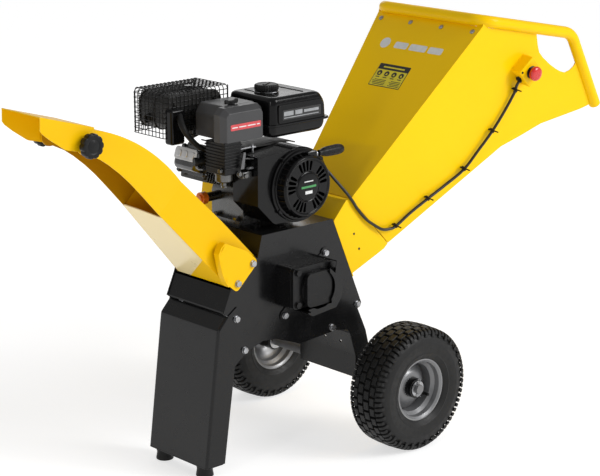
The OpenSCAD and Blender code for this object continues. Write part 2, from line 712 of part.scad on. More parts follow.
// Shaft with its flywheel and two crank webs
module crankshaft() color([0.5, 0.5, 0.52]) at_axle() {
  y_rod(crank, -70, belt_y1 + 4, crank_r);
  y_rod(crank, -62, -22, 78);
  y_rod(crank, 34, 46, 45);
  y_rod(crank, 76, 88, 45);
}

fan_y0 = -101;
module fan_outline(shrink) {
  translate(crank) circle(recoil_d / 2 + 2 - shrink);
  polygon([
    [-358 + shrink, 672], [-358 + shrink, 794], [-352 + shrink, 798 - shrink], [-225, 801 - shrink], [-225, 700],
    [-250, 616 + shrink], [-300, 618 + shrink], [-308 + shrink, 622 + shrink]
  ]);
}

module fan_cover() color([0.04, 0.04, 0.04]) at_axle() difference() {
  union() {
    xz_plate(fan_y0, -6) fan_outline(0);
    xz_plate(-7, 66) polygon([[-332, 798], [-332, 801], [-222, 801], [-160, 797], [-160, 794.5], [-222, 798]]);
    xz_plate(2, 66) polygon([[-400, 823], [-400, 826], [-332, 801], [-330, 801], [-330, 798], [-332, 798]]);
  }
  xz_plate(fan_y0 + 3, -5) fan_outline(3);
  y_rod(crank, fan_y0 - 1, fan_y0 + 4, 78);
}

module recoil_housing() color([0.04, 0.04, 0.04]) at_axle() difference() {
  union() {
    y_rod(crank, fan_y0 - 5, fan_y0, recoil_d / 2);
    y_rod(crank, fan_y0 - 27, fan_y0 - 5, 84);
    y_rod(crank, fan_y0 - 35, fan_y0 - 27, 74);
    translate([-186, fan_y0 - 27, 776]) cube([16, 22, 16]);
  }
  y_rod(crank, fan_y0 - 32, fan_y0 + 1, 71);
  for (a = [0 : 20 : 340]) crank_at() rotate([0, a, 0]) translate([50, fan_y0 - 36, -3]) cube([16, 6, 6]);
  translate([-190, fan_y0 - 16, 784]) rotate([0, 90, 0]) cylinder(h = 40, r = 3.4);
}

rope_y = fan_y0 - 16;
module starter_handle() color([0.05, 0.05, 0.05]) at_axle() translate([-166, rope_y, 784]) rotate([0, 90, 0]) {
  cylinder(h = 12, r = 8);
  translate([0, 0, 12]) cylinder(h = 60, r = 12);
  translate([0, 0, 72]) sphere(12);
}

module starter_rope() color([0.1, 0.1, 0.1]) at_axle() translate([-184, rope_y, 784]) rotate([0, 90, 0])
  cylinder(h = 18, r = 2.5);

tank_y0 = -96;
tank_y1 = 76;
module fuel_tank() color([0.04, 0.04, 0.04]) at_axle() {
  difference() {
    union() {
      xz_plate(tank_y0 + 6, tank_y1 - 6) polygon([[-300, 836], [-132, 836], [-120, 846], [-117, 866], [-306, 866], [-306, 844]]);
      translate([0, 0, 865]) linear_extrude(5) rounded(-312, tank_y0 - 4, -107, tank_y1 + 4, 16);
      xz_plate(tank_y0, tank_y1) polygon([
        [-306, 869], [-306, 930], [-299, 937], [-144, 937], [-130, 930], [-116, 904], [-115, 869]
      ]);
    }
    xz_plate(tank_y0 + 5, tank_y1 - 5) polygon([
      [-301, 848], [-301, 928], [-296, 932], [-146, 932], [-134, 926], [-121, 902], [-122, 848]
    ]);
    translate([-238, 0, 900]) cylinder(h = 60, r = 21);
  }
  difference() {
    translate([-238, 0, 930]) cylinder(h = 13, r = 24);
    translate([-238, 0, 900]) cylinder(h = 60, r = 21);
  }
}

module fuel_cap() color([0.05, 0.05, 0.05]) at_axle() translate([-238, 0, 938]) difference() {
  union() {
    cylinder(h = 17, r = 31);
    for (a = [0 : 30 : 330]) rotate([0, 0, a]) translate([30, 0, 0]) cylinder(h = 15, r = 3);
  }
  translate([0, 0, -1]) cylinder(h = 12, r = 24.4);
}

module air_filter_box() color([0.05, 0.05, 0.05]) at_axle() difference() {
  union() {
    xz_plate(-85, -70) polygon([[-442, 846], [-442, 908], [-434, 916], [-334, 916], [-326, 908], [-326, 846]]);
    xz_plate(-72, -48) polygon([[-456, 843], [-456, 914], [-442, 928], [-332, 928], [-322, 918], [-322, 843]]);
    xz_plate(-50, 12) polygon([[-453, 846], [-453, 910], [-438, 928], [-325, 928], [-325, 846]]);
  }
  xz_plate(-68, 8) polygon([[-449, 850], [-449, 908], [-435, 922], [-329, 922], [-329, 850]]);
  translate([-392, -42, 900]) cylinder(h = 40, r = 3.4);
}

module air_filter_knob() color([0.05, 0.05, 0.05]) at_axle() translate([-392, -42, 0]) {
  translate([0, 0, 916]) cylinder(h = 20, r = 3);
  translate([0, 0, 928.3]) cylinder(h = 7, r = 9);
  translate([-19, -3, 930]) cube([38, 6, 11]);
}

module carburettor() color([0.08, 0.08, 0.08]) at_axle() difference() {
  union() {
    translate([-449, -82, 762]) cube([54, 72, 80.8]);
    for (i = [0 : 7]) translate([-451, -84, 776 + i * 8]) cube([58, 76, 3]);
    translate([-422, -46, 738]) cylinder(h = 26, r = 22);
    translate([-422, -46, 728]) cylinder(h = 12, r = 8);
    translate([-397, -60, 770]) cube([36, 40, 30]);
  }
  y_rod([-404, 780], -90, -60, 3.2);
}

module choke_lever() color([0.55, 0.55, 0.56]) at_axle() {
  y_rod([-404, 780], -96, -66, 3);
  xz_plate(-96, -92) polygon([[-410, 775], [-398, 775], [-392, 815], [-399, 817]]);
}

module throttle_lever() color([0.45, 0.45, 0.46]) at_axle() {
  translate([-330, -50, 799]) cylinder(h = 20, r = 3);
  translate([-336, -56, 812]) cube([12, 12, 4]);
  translate([-384, -53, 812.5]) cube([50, 6, 3]);
  translate([-391, -56, 812]) cube([10, 12, 4]);
}

module muffler() color([0.05, 0.05, 0.05]) at_axle() {
  difference() {
    xz_plate(82, 178) rounded(-474, 856, -330, 936, 22);
    xz_plate(85, 175) rounded(-471, 859, -333, 933, 19);
  }
  translate([-400, 100, 823]) cylinder(h = 34, r = 15);
  difference() {
    translate([-474 - 22, 150, 880]) rotate([0, 90, 0]) cylinder(h = 24, r = 12);
    translate([-474 - 23, 150, 880]) rotate([0, 90, 0]) cylinder(h = 24, r = 9.5);
  }
}

// A wire lattice in the plane of its first two axes
module lattice(w, h, pitch, wire) linear_extrude(wire) difference() {
  square([w, h]);
  nx = floor(w / pitch);
  nz = floor(h / pitch);
  for (i = [0 : nx - 1], j = [0 : nz - 1])
    translate([wire + i * (w - wire) / nx, wire + j * (h - wire) / nz])
      square([(w - wire) / nx - wire, (h - wire) / nz - wire]);
}

cage_x = [-518, -312];
cage_y = [60, 196];
cage_z = [840, 956];
cage_wire = 2.6;
module muffler_guard() color([0.04, 0.04, 0.04]) at_axle() {
  w = cage_x[1] - cage_x[0];
  d = cage_y[1] - cage_y[0];
  h = cage_z[1] - cage_z[0];
  for (y = [cage_y[0] + cage_wire, cage_y[1]]) translate([cage_x[0], y, cage_z[0]]) rotate([90, 0, 0])
    lattice(w, h, 15, cage_wire);
  translate([cage_x[0] + cage_wire, cage_y[0], cage_z[0]]) rotate([90, 0, 90]) mirror([0, 0, 1])
    lattice(d, h, 15, cage_wire);
  translate([cage_x[0], cage_y[0], cage_z[1] - cage_wire]) lattice(w, d, 15, cage_wire);
  translate([-404, 110, 937]) cylinder(h = 18, r = 5);
}

lead_route = [
  [-345, -8, 806], [-372, 4, 830], [-404, 18, 836], [-436, 26, 828], [-462, 34, 812], [-468, 44, 800]
];
module spark_lead() color([0.03, 0.03, 0.03]) at_axle() swept_tube(dense(lead_route, 4), 3.5, 8);

module oil_cap() color([0.95, 0.45, 0.1]) at_axle() translate([-368.3, 92, 664]) rotate([0, -90, 0]) {
  cylinder(h = 16, r = 16);
  translate([0, 0, 16]) cylinder(h = 5, r = 10);
}

// ---- fasteners ----
module frame_bolts() color([0.78, 0.78, 0.78]) at_axle() {
  both_sides() {
    for (p = leg_bolts) side_bolt(p, side_y + 3, inner_y);
    for (p = ear_bolts) side_bolt(p, side_y + 3.8, inner_y);
    for (p = bracket_bolts) side_bolt(p, side_y, inner_y - plate_t);
  }
  for (p = guard_bolts) side_bolt(p, side_y + 3, inner_y);
}

housing_near_plate();
housing_far_plate();
housing_wrap();
engine_mount_plate();
support_leg();
rubber_feet();
axle_brackets();
axle();
wheel_retainers();
wheel_rim_near();
wheel_rim_far();
tyre_near();
tyre_far();
valve_stem_near();
valve_stem_far();
bearing_standoff();
flange_bearing_near();
flange_bearing_far();
bearing_guard();
rotor_shaft();
rotor_drum();
rotor_knives();
counter_knife();
rotor_pulley();
clutch_pulley();
drive_belt();
belt_cover();
discharge_chute();
deflector();
deflector_knob_near();
deflector_knob_far();
hopper_shell();
hopper_throat();
handle_tube();
estop_box();
estop_button();
estop_cable();
cable_clips();
crankcase();
cylinder_block();
valve_cover();
crankshaft();
fan_cover();
recoil_housing();
starter_handle();
starter_rope();
fuel_tank();
fuel_cap();
air_filter_box();
air_filter_knob();
carburettor();
choke_lever();
throttle_lever();
muffler();
muffler_guard();
spark_lead();
oil_cap();
frame_bolts();
hopper_screws();
engine_bolts();
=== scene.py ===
import json
import math

import bmesh
import bpy
import numpy as np
from mathutils import Matrix, Vector


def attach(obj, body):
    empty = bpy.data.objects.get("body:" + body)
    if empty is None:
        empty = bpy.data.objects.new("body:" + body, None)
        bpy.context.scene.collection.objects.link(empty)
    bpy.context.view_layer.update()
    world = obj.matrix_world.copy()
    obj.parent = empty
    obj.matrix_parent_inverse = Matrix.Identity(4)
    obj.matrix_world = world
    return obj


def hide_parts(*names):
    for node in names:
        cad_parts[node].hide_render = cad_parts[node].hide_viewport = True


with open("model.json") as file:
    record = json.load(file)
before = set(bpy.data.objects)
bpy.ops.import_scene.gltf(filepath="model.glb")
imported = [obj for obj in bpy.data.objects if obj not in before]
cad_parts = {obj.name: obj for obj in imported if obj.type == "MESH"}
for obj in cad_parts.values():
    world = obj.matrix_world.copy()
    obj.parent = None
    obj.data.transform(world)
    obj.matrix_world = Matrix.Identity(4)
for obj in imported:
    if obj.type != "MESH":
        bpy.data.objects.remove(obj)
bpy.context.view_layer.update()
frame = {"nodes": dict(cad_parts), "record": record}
NODES = frame["nodes"]
BODY_OF = {n: body for body, group in frame["record"]["behaviour"]["bodies"].items() for n in group}
MM = 0.001

# Places in the CAD frame, mm and degrees.
AXLE_X = 79.5  # X at the wheel axle; every other X below is measured from there
TYRE_R, WHEEL_Y = 165, 280  # the axle's height, and the wheels' middle
CRANK = (-220, 708)  # X and Z of the engine's crank
PIVOT = (-858, 900)  # X and Z of the deflector's hinge
HOPPER_FOOT, SLOPE, SPLAY, BACK_LEAN = (-40, 641), math.radians(43.99), math.radians(8.8), math.radians(2.52)
PLATE_Y = 115  # outer face of the chamber's side plates

# ---------------------------------------------------------------- camera
camera = bpy.data.objects.new("camera", bpy.data.cameras.new("camera"))
bpy.context.scene.collection.objects.link(camera)
camera.location = (-3.3255, -3.546, 1.825)
camera.rotation_euler = (math.radians(75.0), math.radians(0.05), math.radians(-42.8))
camera.data.sensor_width = 36
camera.data.lens = 114.5
camera.data.clip_end = 100
bpy.context.scene.camera = camera


# ---------------------------------------------------------------- placing
def P(x, y, z):
    """A point given in millimetres from the wheel axle's plan position."""
    return Vector(((x + AXLE_X) * MM, y * MM, z * MM))


def hop(x, y, z):
    """A point along the hopper, mm: x up the slope, z towards the engine."""
    c, s = math.cos(SLOPE), math.sin(SLOPE)
    return P(HOPPER_FOOT[0] + x * c - z * s, y, HOPPER_FOOT[1] + x * s + z * c)


def panel(a, b, c):
    """A point on the near hopper panel, mm: b is negative outwards."""
    x = a * math.cos(SPLAY) + b * math.sin(SPLAY)
    y = -105 - a * math.sin(SPLAY) + b * math.cos(SPLAY)
    return hop(x, y, c)


def chute(x, y, z):
    """A point in the chute, mm: x up the slope, z towards the engine."""
    return P(-456 - 0.671 * x + 0.741 * z, y, 485 + 0.741 * x + 0.671 * z)


def basis(x_axis, z_axis, at):
    """A placing whose local X and Z point the given ways."""
    z = Vector(z_axis).normalized()
    x = Vector(x_axis)
    x = (x - z * x.dot(z)).normalized()
    m = Matrix((x, z.cross(x), z)).transposed().to_4x4()
    m.translation = at
    return m


def frame_of(point):
    """The placing whose local millimetres are the arguments of point."""
    zero = point(0, 0, 0)
    m = Matrix([(point(*way) - zero) / MM for way in ((1, 0, 0), (0, 1, 0), (0, 0, 1))]).transposed().to_4x4()
    m.translation = zero
    return m


def along_y(x, y, z):
    """Local Z points to -Y, local X to +X, local Y to +Z, at a point in mm."""
    return basis((1, 0, 0), (0, -1, 0), P(x, y, z))


def outward(side, x, y, z):
    """Local Z points to the given side, local X to +X, at a point in mm."""
    return basis((1, 0, 0), (0, side, 0), P(x, y, z))


def spot(x, y, z):
    """A placing at a point in mm from the axle, without a turn."""
    return Matrix.Translation(P(x, y, z))


def shift(x, y, z):
    """A move in mm."""
    return Matrix.Translation(Vector((x, y, z)) * MM)


def spin(angle):
    """A turn round local Z, radians."""
    return Matrix.Rotation(angle, 4, "Z")


def place(bm, matrix):
    """Moves a bmesh by a matrix."""
    bmesh.ops.transform(bm, matrix=matrix, verts=bm.verts)
    return bm


SIDE_ON = along_y(0, 0, 0)
CHUTE, PANEL = frame_of(chute), frame_of(panel)
STAND = Matrix(((1, 0, 0, 0), (0, 0, -1, 0), (0, 1, 0, 0), (0, 0, 0, 1)))  # local Y becomes Z


# ---------------------------------------------------------------- materials
DUST = (0.35, 0.33, 0.3)


def material(name, color, dark=0.8, rough=0.35, spread=0.06, metal=0.0, coat=0.0, coat_rough=0.08,
             cloud=9.0, peel=0.0, peel_scale=500.0, grain=0.0, grain_scale=2500.0, stretch=(1, 1, 1),
             dust=0.0, spec=0.5):
    """Surface with drifting colour, uneven gloss, orange peel or cast grain, and dust on top faces."""
    m = bpy.data.materials.new(name)
    m.use_nodes = True
    tree = m.node_tree
    tree.nodes.clear()
    link = tree.links.new

    def node(kind, **values):
        """A node with the values of its inputs."""
        made = tree.nodes.new("ShaderNode" + kind)
        for key, value in values.items():
            made.inputs[key.replace("_", " ")].default_value = value
        return made

    def noise(scale, detail):
        made = node("TexNoise", Scale=scale, Detail=detail)
        link(mapping.outputs[0], made.inputs["Vector"])
        return made.outputs["Fac"]

    def stretched(value, **limits):
        made = node("MapRange", **limits)
        link(value, made.inputs["Value"])
        return made.outputs[0]

    shader = node("BsdfPrincipled", Metallic=metal, Coat_Weight=coat, Coat_Roughness=coat_rough,
                  Specular_IOR_Level=spec)
    link(shader.outputs[0], node("OutputMaterial").inputs[0])
    mapping = node("Mapping", Scale=stretch)
    link(node("TexCoord").outputs["Object"], mapping.inputs["Vector"])

    ramp = node("ValToRGB")
    for stop, position, share in zip(ramp.color_ramp.elements, (0.35, 0.65), (dark, 1)):
        stop.position = position
        stop.color = (*[c * share for c in color], 1)
    link(noise(cloud, 6), ramp.inputs["Fac"])
    tint = ramp.outputs["Color"]
    if dust:
        split = node("SeparateXYZ")
        link(node("NewGeometry").outputs["Normal"], split.inputs[0])
        times = node("Math")
        times.operation = "MULTIPLY"
        link(stretched(split.outputs["Z"], From_Min=0.3, From_Max=1.0, To_Max=dust), times.inputs[0])
        link(noise(cloud * 18, 8), times.inputs[1])
        mix = node("Mix")
        mix.data_type = "RGBA"
        link(times.outputs[0], mix.inputs[0])
        link(tint, mix.inputs[6])
        mix.inputs[7].default_value = (*DUST, 1)
        tint = mix.outputs[2]
    link(tint, shader.inputs["Base Color"])
    gloss = stretched(noise(cloud * 4, 5), From_Min=0.3, From_Max=0.7,
                      To_Min=max(rough - spread, 0.02), To_Max=rough + spread)
    link(gloss, shader.inputs["Roughness"])

    last = None
    for strength, scale, distance in ((peel, peel_scale, 0.0004), (grain, grain_scale, 0.0003)):
        if strength:
            bump = node("Bump", Strength=strength, Distance=distance)
            link(noise(scale, 3), bump.inputs["Height"])
            if last:
                link(last, bump.inputs["Normal"])
            last = bump.outputs[0]
    if last:
        link(last, shader.inputs["Normal"])
        if coat:
            link(last, shader.inputs["Coat Normal"])
    return m


POWDER = dict(coat=0.07, coat_rough=0.12, cloud=3, peel=0.08, peel_scale=380, spec=0.1)
# Key: slot, material name, colour, darkest share of it, roughness and its spread, and the rest.
LOOKS = {
    "yellow": ("yellow_sheet", "yellow_powder_coat", (0.95, 0.585, 0.001), 0.96, 0.34, 0.04, POWDER),
    # yellow_low: the same yellow powder coat made darker for the chute and the deflector: painted shade
    "yellow_low": ("yellow_sheet", "yellow_powder_coat_chute", (0.86, 0.5, 0.001), 0.96, 0.34, 0.04, POWDER),
    # cream: painted reflection, the yellow plate lightened to show the bright floor glancing off it
    "cream_painted_reflection": ("yellow_sheet", "glazed_yellow_plate", (0.86, 0.7, 0.36), 0.97, 0.3, 0.04,
              dict(coat=0.2, cloud=3, peel=0.08, peel_scale=380, spec=0.3)),
    # amber: painted shade, a darker brown-yellow for the shadowed inner faces of the chute
    "amber_painted_shade": ("yellow_sheet", "chute_inner_face", (0.46, 0.22, 0.001), 0.9, 0.4, 0.05,
              dict(cloud=3, peel=0.08, peel_scale=380, spec=0.1)),
    "black": ("black_sheet", "black_powder_coat", (0.0045, 0.0045, 0.0048), 0.75, 0.24, 0.06,
              dict(coat=0.14, coat_rough=0.1, cloud=6, peel=0.12, peel_scale=420, dust=0.01, spec=0.24)),
    "engine": ("engine_black", "engine_gloss_black", (0.004, 0.004, 0.0043), 0.7, 0.17, 0.05,
               dict(coat=0.12, coat_rough=0.05, cloud=11, peel=0.04, peel_scale=300, spec=0.14)),
    "plastic": ("black_plastic", "black_moulded_plastic", (0.007, 0.007, 0.0075), 0.8, 0.36, 0.06,
                dict(cloud=14, grain=0.25, grain_scale=1800, spec=0.22)),
    "satin": ("black_plastic", "filter_satin_plastic", (0.045, 0.045, 0.047), 0.85, 0.36, 0.05,
              dict(cloud=10, grain=0.15, grain_scale=1500, spec=0.4)),
    "shadow": ("black_plastic", "deep_black", (0.002, 0.002, 0.002), 0.6, 0.85, 0.05,
               dict(cloud=30, spec=0.02)),
    "cast": ("cast_black", "black_painted_casting", (0.006, 0.006, 0.0063), 0.75, 0.32, 0.07,
             dict(coat=0.06, cloud=16, grain=0.5, grain_scale=420, spec=0.2)),
    "rubber": ("rubber", "rubber_black", (0.008, 0.008, 0.008), 0.75, 0.5, 0.08,
               dict(cloud=20, grain=0.3, grain_scale=900, spec=0.22)),
    "cable": ("rubber", "cable_sheath", (0.008, 0.008, 0.0085), 0.8, 0.4, 0.06,
              dict(cloud=40, grain=0.15, grain_scale=900)),
    "tyre": ("tyre", "tyre_rubber", (0.009, 0.009, 0.009), 0.7, 0.5, 0.1,
             dict(cloud=22, grain=0.35, grain_scale=700, dust=0.02, spec=0.26)),
    "rim": ("rim_grey", "rim_grey_paint", (0.21, 0.212, 0.218), 0.85, 0.36, 0.06,
            dict(metal=0.35, coat=0.2, cloud=12, peel=0.15, peel_scale=420)),
    "zinc": ("zinc", "zinc_plate", (0.43, 0.435, 0.45), 0.75, 0.3, 0.08,
             dict(metal=1.0, cloud=60, grain=0.15, grain_scale=1500)),
    "steel": ("tool_steel", "machined_steel", (0.42, 0.42, 0.44), 0.7, 0.34, 0.08,
              dict(metal=1.0, cloud=30, grain=0.2, grain_scale=900, stretch=(1, 6, 1))),
    "iron": ("pulley_iron", "machined_iron", (0.16, 0.16, 0.165), 0.7, 0.42, 0.08,
             dict(metal=0.9, cloud=30, grain=0.3, grain_scale=700)),
    "axle_end": ("axle_steel", "axle_paint_grey", (0.2, 0.2, 0.205), 0.8, 0.4, 0.06,
                 dict(metal=0.4, cloud=30, grain=0.2, grain_scale=500)),
    "alloy": ("cast_alloy", "cast_alloy", (0.14, 0.14, 0.138), 0.86, 0.28, 0.06,
              dict(metal=0.9, cloud=18, grain=0.3, grain_scale=700)),
    "cover": ("cast_alloy", "valve_cover_alloy", (0.17, 0.17, 0.172), 0.8, 0.2, 0.06,
              dict(metal=0.95, cloud=24, grain=0.25, grain_scale=900)),
    "plate_bright": ("cast_alloy", "raised_alloy_panel", (0.8, 0.8, 0.8), 0.85, 0.34, 0.06,
                     dict(metal=0.9, cloud=24, grain=0.3, grain_scale=900)),
    "heat": ("hot_steel", "heat_paint", (0.018, 0.017, 0.016), 0.6, 0.5, 0.1,
             dict(cloud=26, grain=0.4, grain_scale=500)),
    "red": ("red_plastic", "stop_button_red", (0.62, 0.01, 0.008), 0.85, 0.28, 0.04,
            dict(coat=0.5, cloud=20, grain=0.05)),
    "orange": ("orange_plastic", "oil_cap_orange", (0.85, 0.2, 0.015), 0.85, 0.35, 0.05,
               dict(cloud=20, grain=0.1)),
    "rope": ("rope", "starter_rope", (0.03, 0.03, 0.03), 0.6, 0.8, 0.1,
             dict(cloud=60, grain=0.6, grain_scale=1600)),
    "label_red": ("red_plastic", "filter_label_red", (0.62, 0.06, 0.07), 0.85, 0.4, 0.05, dict(cloud=60)),
    "label_silver": ("zinc", "tank_label_silver", (0.34, 0.35, 0.36), 0.8, 0.35, 0.06,
                     dict(metal=0.5, cloud=60)),
    "label_dark": ("black_plastic", "label_black", (0.012, 0.012, 0.012), 0.8, 0.4, 0.05, dict(cloud=60)),
    "label_white": ("zinc", "label_pale", (0.72, 0.73, 0.72), 0.9, 0.4, 0.05, dict(cloud=60)),
    "label_green": ("black_plastic", "label_green", (0.05, 0.28, 0.08), 0.85, 0.4, 0.05, dict(cloud=60)),
    "label_yellow": ("yellow_sheet", "label_yellow", (0.75, 0.62, 0.02), 0.9, 0.4, 0.05, dict(cloud=60)),
}
MAT = {key: material(*look[1:6], **look[6]) for key, look in LOOKS.items()}


# ---------------------------------------------------------------- building
def shade(bm, angle=40):
    """Smooth faces, with the edges sharper than angle left crisp."""
    limit = math.radians(angle)
    for f in bm.faces:
        f.smooth = True
    for e in bm.edges:
        e.smooth = not (len(e.link_faces) != 2 or e.calc_face_angle(0) > limit)


def piece(name, bm, mat, replaces=(), body="frame", angle=40, weighted=True):
    """A finished piece from a bmesh in the row frame."""
    bmesh.ops.recalc_face_normals(bm, faces=bm.faces)
    shade(bm, angle)
    mesh = bpy.data.meshes.new(name)
    bm.to_mesh(mesh)
    bm.free()
    obj = bpy.data.objects.new(name, mesh)
    bpy.context.scene.collection.objects.link(obj)
    mesh.materials.append(MAT[mat])
    if weighted:
        mod = obj.modifiers.new("even_normals", "WEIGHTED_NORMAL")
        mod.keep_sharp = True
    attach(obj, body)
    if replaces:
        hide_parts(replaces)
    return obj


def add(bm, other, matrix=None):
    """Adds another bmesh to bm."""
    if matrix is not None:
        place(other, matrix)
    mesh = bpy.data.meshes.new("join")
    other.to_mesh(mesh)
    other.free()
    bm.from_mesh(mesh)
    bpy.data.meshes.remove(mesh)
    return bm


def round_edges(bm, width, segments=2, angle=28, only=lambda e: True):
    """Bevels the edges sharper than angle; width in mm."""
    limit = math.radians(angle)
    edges = [e for e in bm.edges if len(e.link_faces) == 2 and e.calc_face_angle(0) > limit and only(e)]
    if edges:
        bmesh.ops.bevel(bm, geom=edges, offset=width * MM, segments=segments, profile=0.5, affect="EDGES",
                        clamp_overlap=True)


def soften(node, mat, width):
    """A copy of a CAD node, closed up, with flat areas as single faces and rounded edges."""
    bm = bmesh.new()
    bm.from_mesh(NODES[node].data)
    bmesh.ops.remove_doubles(bm, verts=bm.verts, dist=2e-6)
    bmesh.ops.dissolve_limit(bm, angle_limit=math.radians(0.4), verts=bm.verts, edges=bm.edges)
    bmesh.ops.dissolve_degenerate(bm, dist=2e-6, edges=bm.edges)
    round_edges(bm, width)
    piece(node + "_skin", bm, mat, node, BODY_OF[node])


def round_steps(n):
    """The angles of n equal steps of a full turn."""
    return [2 * math.pi * k / n for k in range(n)]


def bridge(bm, rows):
    """Quads between closed rows of equally many vertices."""
    n = len(rows[0])
    for lo, hi in zip(rows, rows[1:]):
        for k in range(n):
            j = (k + 1) % n
            bm.faces.new((lo[k], lo[j], hi[j], hi[k]))


def cap_ends(bm, rows):
    """Faces over the first and last row."""
    bm.faces.new(rows[0][::-1])
    bm.faces.new(rows[-1])


def skin(rings):
    """A closed skin over rings of points in metres, with equally many each."""
    bm = bmesh.new()
    rows = [[bm.verts.new(p) for p in ring] for ring in rings]
    bridge(bm, rows)
    cap_ends(bm, rows)
    return bm


def loft(rings):
    """Skin over rings in mm from the axle."""
    return skin([[P(*p) for p in ring] for ring in rings])


def lathe(profile, segments=64, closed=False):
    """Turns (radius, height) points round local Z; mm."""
    bm = bmesh.new()
    rings = []
    for r, z in profile:
        turns = [(r * MM * math.cos(a), r * MM * math.sin(a), z * MM) for a in round_steps(segments)]
        rings.append([bm.verts.new(p) for p in (turns if r >= 1e-6 else [(0, 0, z * MM)])])
    pairs = list(zip(rings, rings[1:]))
    if closed:
        pairs.append((rings[-1], rings[0]))
    for lo, hi in pairs:
        for k in range(segments):
            j = (k + 1) % segments
            quad = [lo[k % len(lo)], lo[j % len(lo)], hi[j % len(hi)], hi[k % len(hi)]]
            quad = [v for i, v in enumerate(quad) if v not in quad[:i]]
            if len(quad) > 2:
                bm.faces.new(quad)
    if not closed:
        for ring, flip in ((rings[0], True), (rings[-1], False)):
            if len(ring) > 2:
                bm.faces.new(ring[::-1] if flip else ring)
    return bm


def box(x0, y0, z0, x1, y1, z1, width=0.0, segments=2):
    """A box in millimetres with rounded edges, local frame."""
    bm = bmesh.new()
    m = Matrix.Translation(Vector(((x0 + x1) / 2, (y0 + y1) / 2, (z0 + z1) / 2)) * MM)
    m = m @ Matrix.Diagonal((abs(x1 - x0) * MM, abs(y1 - y0) * MM, abs(z1 - z0) * MM, 1))
    bmesh.ops.create_cube(bm, size=1, matrix=m)
    if width:
        round_edges(bm, width, segments)
    return bm


def prism(outline, z0, z1, width=0.0, segments=2, holes=()):
    """An outline in local X and Y, mm, raised from z0 to z1 with rounded edges; holes are outlines too."""
    bm = bmesh.new()
    loops = [[bm.verts.new((x * MM, y * MM, z0 * MM)) for x, y in loop] for loop in (outline, *holes)]
    if holes:
        edges = [bm.edges.new((vs[i], vs[(i + 1) % len(vs)])) for vs in loops for i in range(len(vs))]
        bmesh.ops.triangle_fill(bm, use_beauty=True, use_dissolve=False, edges=edges)
    else:
        bm.faces.new(loops[0])
    top = bmesh.ops.extrude_face_region(bm, geom=bm.faces[:])
    raised = [v for v in top["geom"] if isinstance(v, bmesh.types.BMVert)]
    bmesh.ops.translate(bm, vec=(0, 0, (z1 - z0) * MM), verts=raised)
    bmesh.ops.recalc_face_normals(bm, faces=bm.faces)
    if width:
        round_edges(bm, width, segments)
    return bm


def plate(outline, y_near, y_far, width=0.8):
    """An outline in X and Z from the axle, mm, between two Y planes (near is the lower Y)."""
    return place(prism(outline, -y_far, -y_near, width), SIDE_ON)


def circle(cx, cy, r, n=48, start=0.0, turn=360.0):
    """Points on a circle or an arc, degrees."""
    steps = n if turn == 360.0 else n - 1
    angles = [math.radians(start + turn * k / steps) for k in range(n)]
    return [(cx + r * math.cos(a), cy + r * math.sin(a)) for a in angles]


def rounded(x0, y0, x1, y1, r, n=7):
    """A rectangle with rounded corners."""
    corners = ((x1 - r, y1 - r, 0), (x0 + r, y1 - r, 90), (x0 + r, y0 + r, 180), (x1 - r, y0 + r, 270))
    return [p for cx, cy, a in corners for p in circle(cx, cy, r, n, a, 90)]


def slab(x0, y0, x1, y1, z, r):
    """One level of a loft: a rounded rectangle in plan."""
    return [(x, y, z) for x, y in rounded(x0, y0, x1, y1, r)]


def fillet(points, radii, n=6):
    """Rounds the corners of a closed outline; a radius of 0 keeps the corner."""
    out = []
    count = len(points)
    for i, p in enumerate(points):
        r = radii if isinstance(radii, (int, float)) else radii[i]
        p = Vector(p)
        a, b = Vector(points[i - 1]) - p, Vector(points[(i + 1) % count]) - p
        la, lb = a.length, b.length
        a, b = a / la, b / lb
        half = math.acos(max(-1, min(1, a.dot(b)))) / 2
        if r <= 0 or half > math.radians(88) or half < math.radians(3):
            out.append(tuple(p))
            continue
        reach = min(r / math.tan(half), la * 0.49, lb * 0.49)
        c = p + (a + b).normalized() * (reach * math.tan(half) / math.sin(half))
        s, e = p + a * reach - c, p + b * reach - c
        turn = s.angle_signed(e)
        for k in range(n + 1):
            w = -turn * k / n
            out.append((c.x + s.x * math.cos(w) - s.y * math.sin(w),
                        c.y + s.x * math.sin(w) + s.y * math.cos(w)))
    return out


def smooth(points, n):
    """Points of a curve through all the given ones."""
    pts = [Vector(p) for p in points]
    out = []
    for i in range(len(pts) - 1):
        a, b, c, d = pts[max(i - 1, 0)], pts[i], pts[i + 1], pts[min(i + 2, len(pts) - 1)]
        for k in range(n):
            t = k / n
            bow = (2 * a - 5 * b + 4 * c - d) * t * t
            out.append(0.5 * (2 * b + (c - a) * t + bow + (3 * b - a - 3 * c + d) * t ** 3))
    out.append(pts[-1])
    return out


def tube(points, radius, sides=16):
    """A round tube along points in metres; radius in mm or a list of them."""
    pts = [Vector(p) for p in points]
    last = len(pts) - 1
    radii = radius if isinstance(radius, list) else [radius] * len(pts)
    rings = []
    up = (pts[1] - pts[0]).normalized().orthogonal().normalized()
    for i, p in enumerate(pts):
        d = (pts[min(i + 1, last)] - pts[max(i - 1, 0)]).normalized()
        up = (up - d * up.dot(d)).normalized()
        side = d.cross(up)
        rings.append([p + (up * math.cos(a) + side * math.sin(a)) * radii[i] * MM
                      for a in round_steps(sides)])
    return skin(rings)


def bend_path(points, radii, step=12):
    """Points of a path with round bends; points in metres, radii in mm."""
    pts = [Vector(p) for p in points]
    out = [pts[0]]
    for i in range(1, len(pts) - 1):
        a, b = (pts[i - 1] - pts[i]).normalized(), (pts[i + 1] - pts[i]).normalized()
        half = math.acos(max(-1, min(1, -a.dot(b)))) / 2
        r = radii[i] * MM
        c = pts[i] + (a + b).normalized() * (r / math.cos(half))
        u = (pts[i] + a * r * math.tan(half) - c).normalized()
        for k in range(step + 1):
            w = 2 * half * k / step
            out.append(c + (u * math.cos(w) - a * math.sin(w)) * r)
    out.append(pts[-1])
    return out


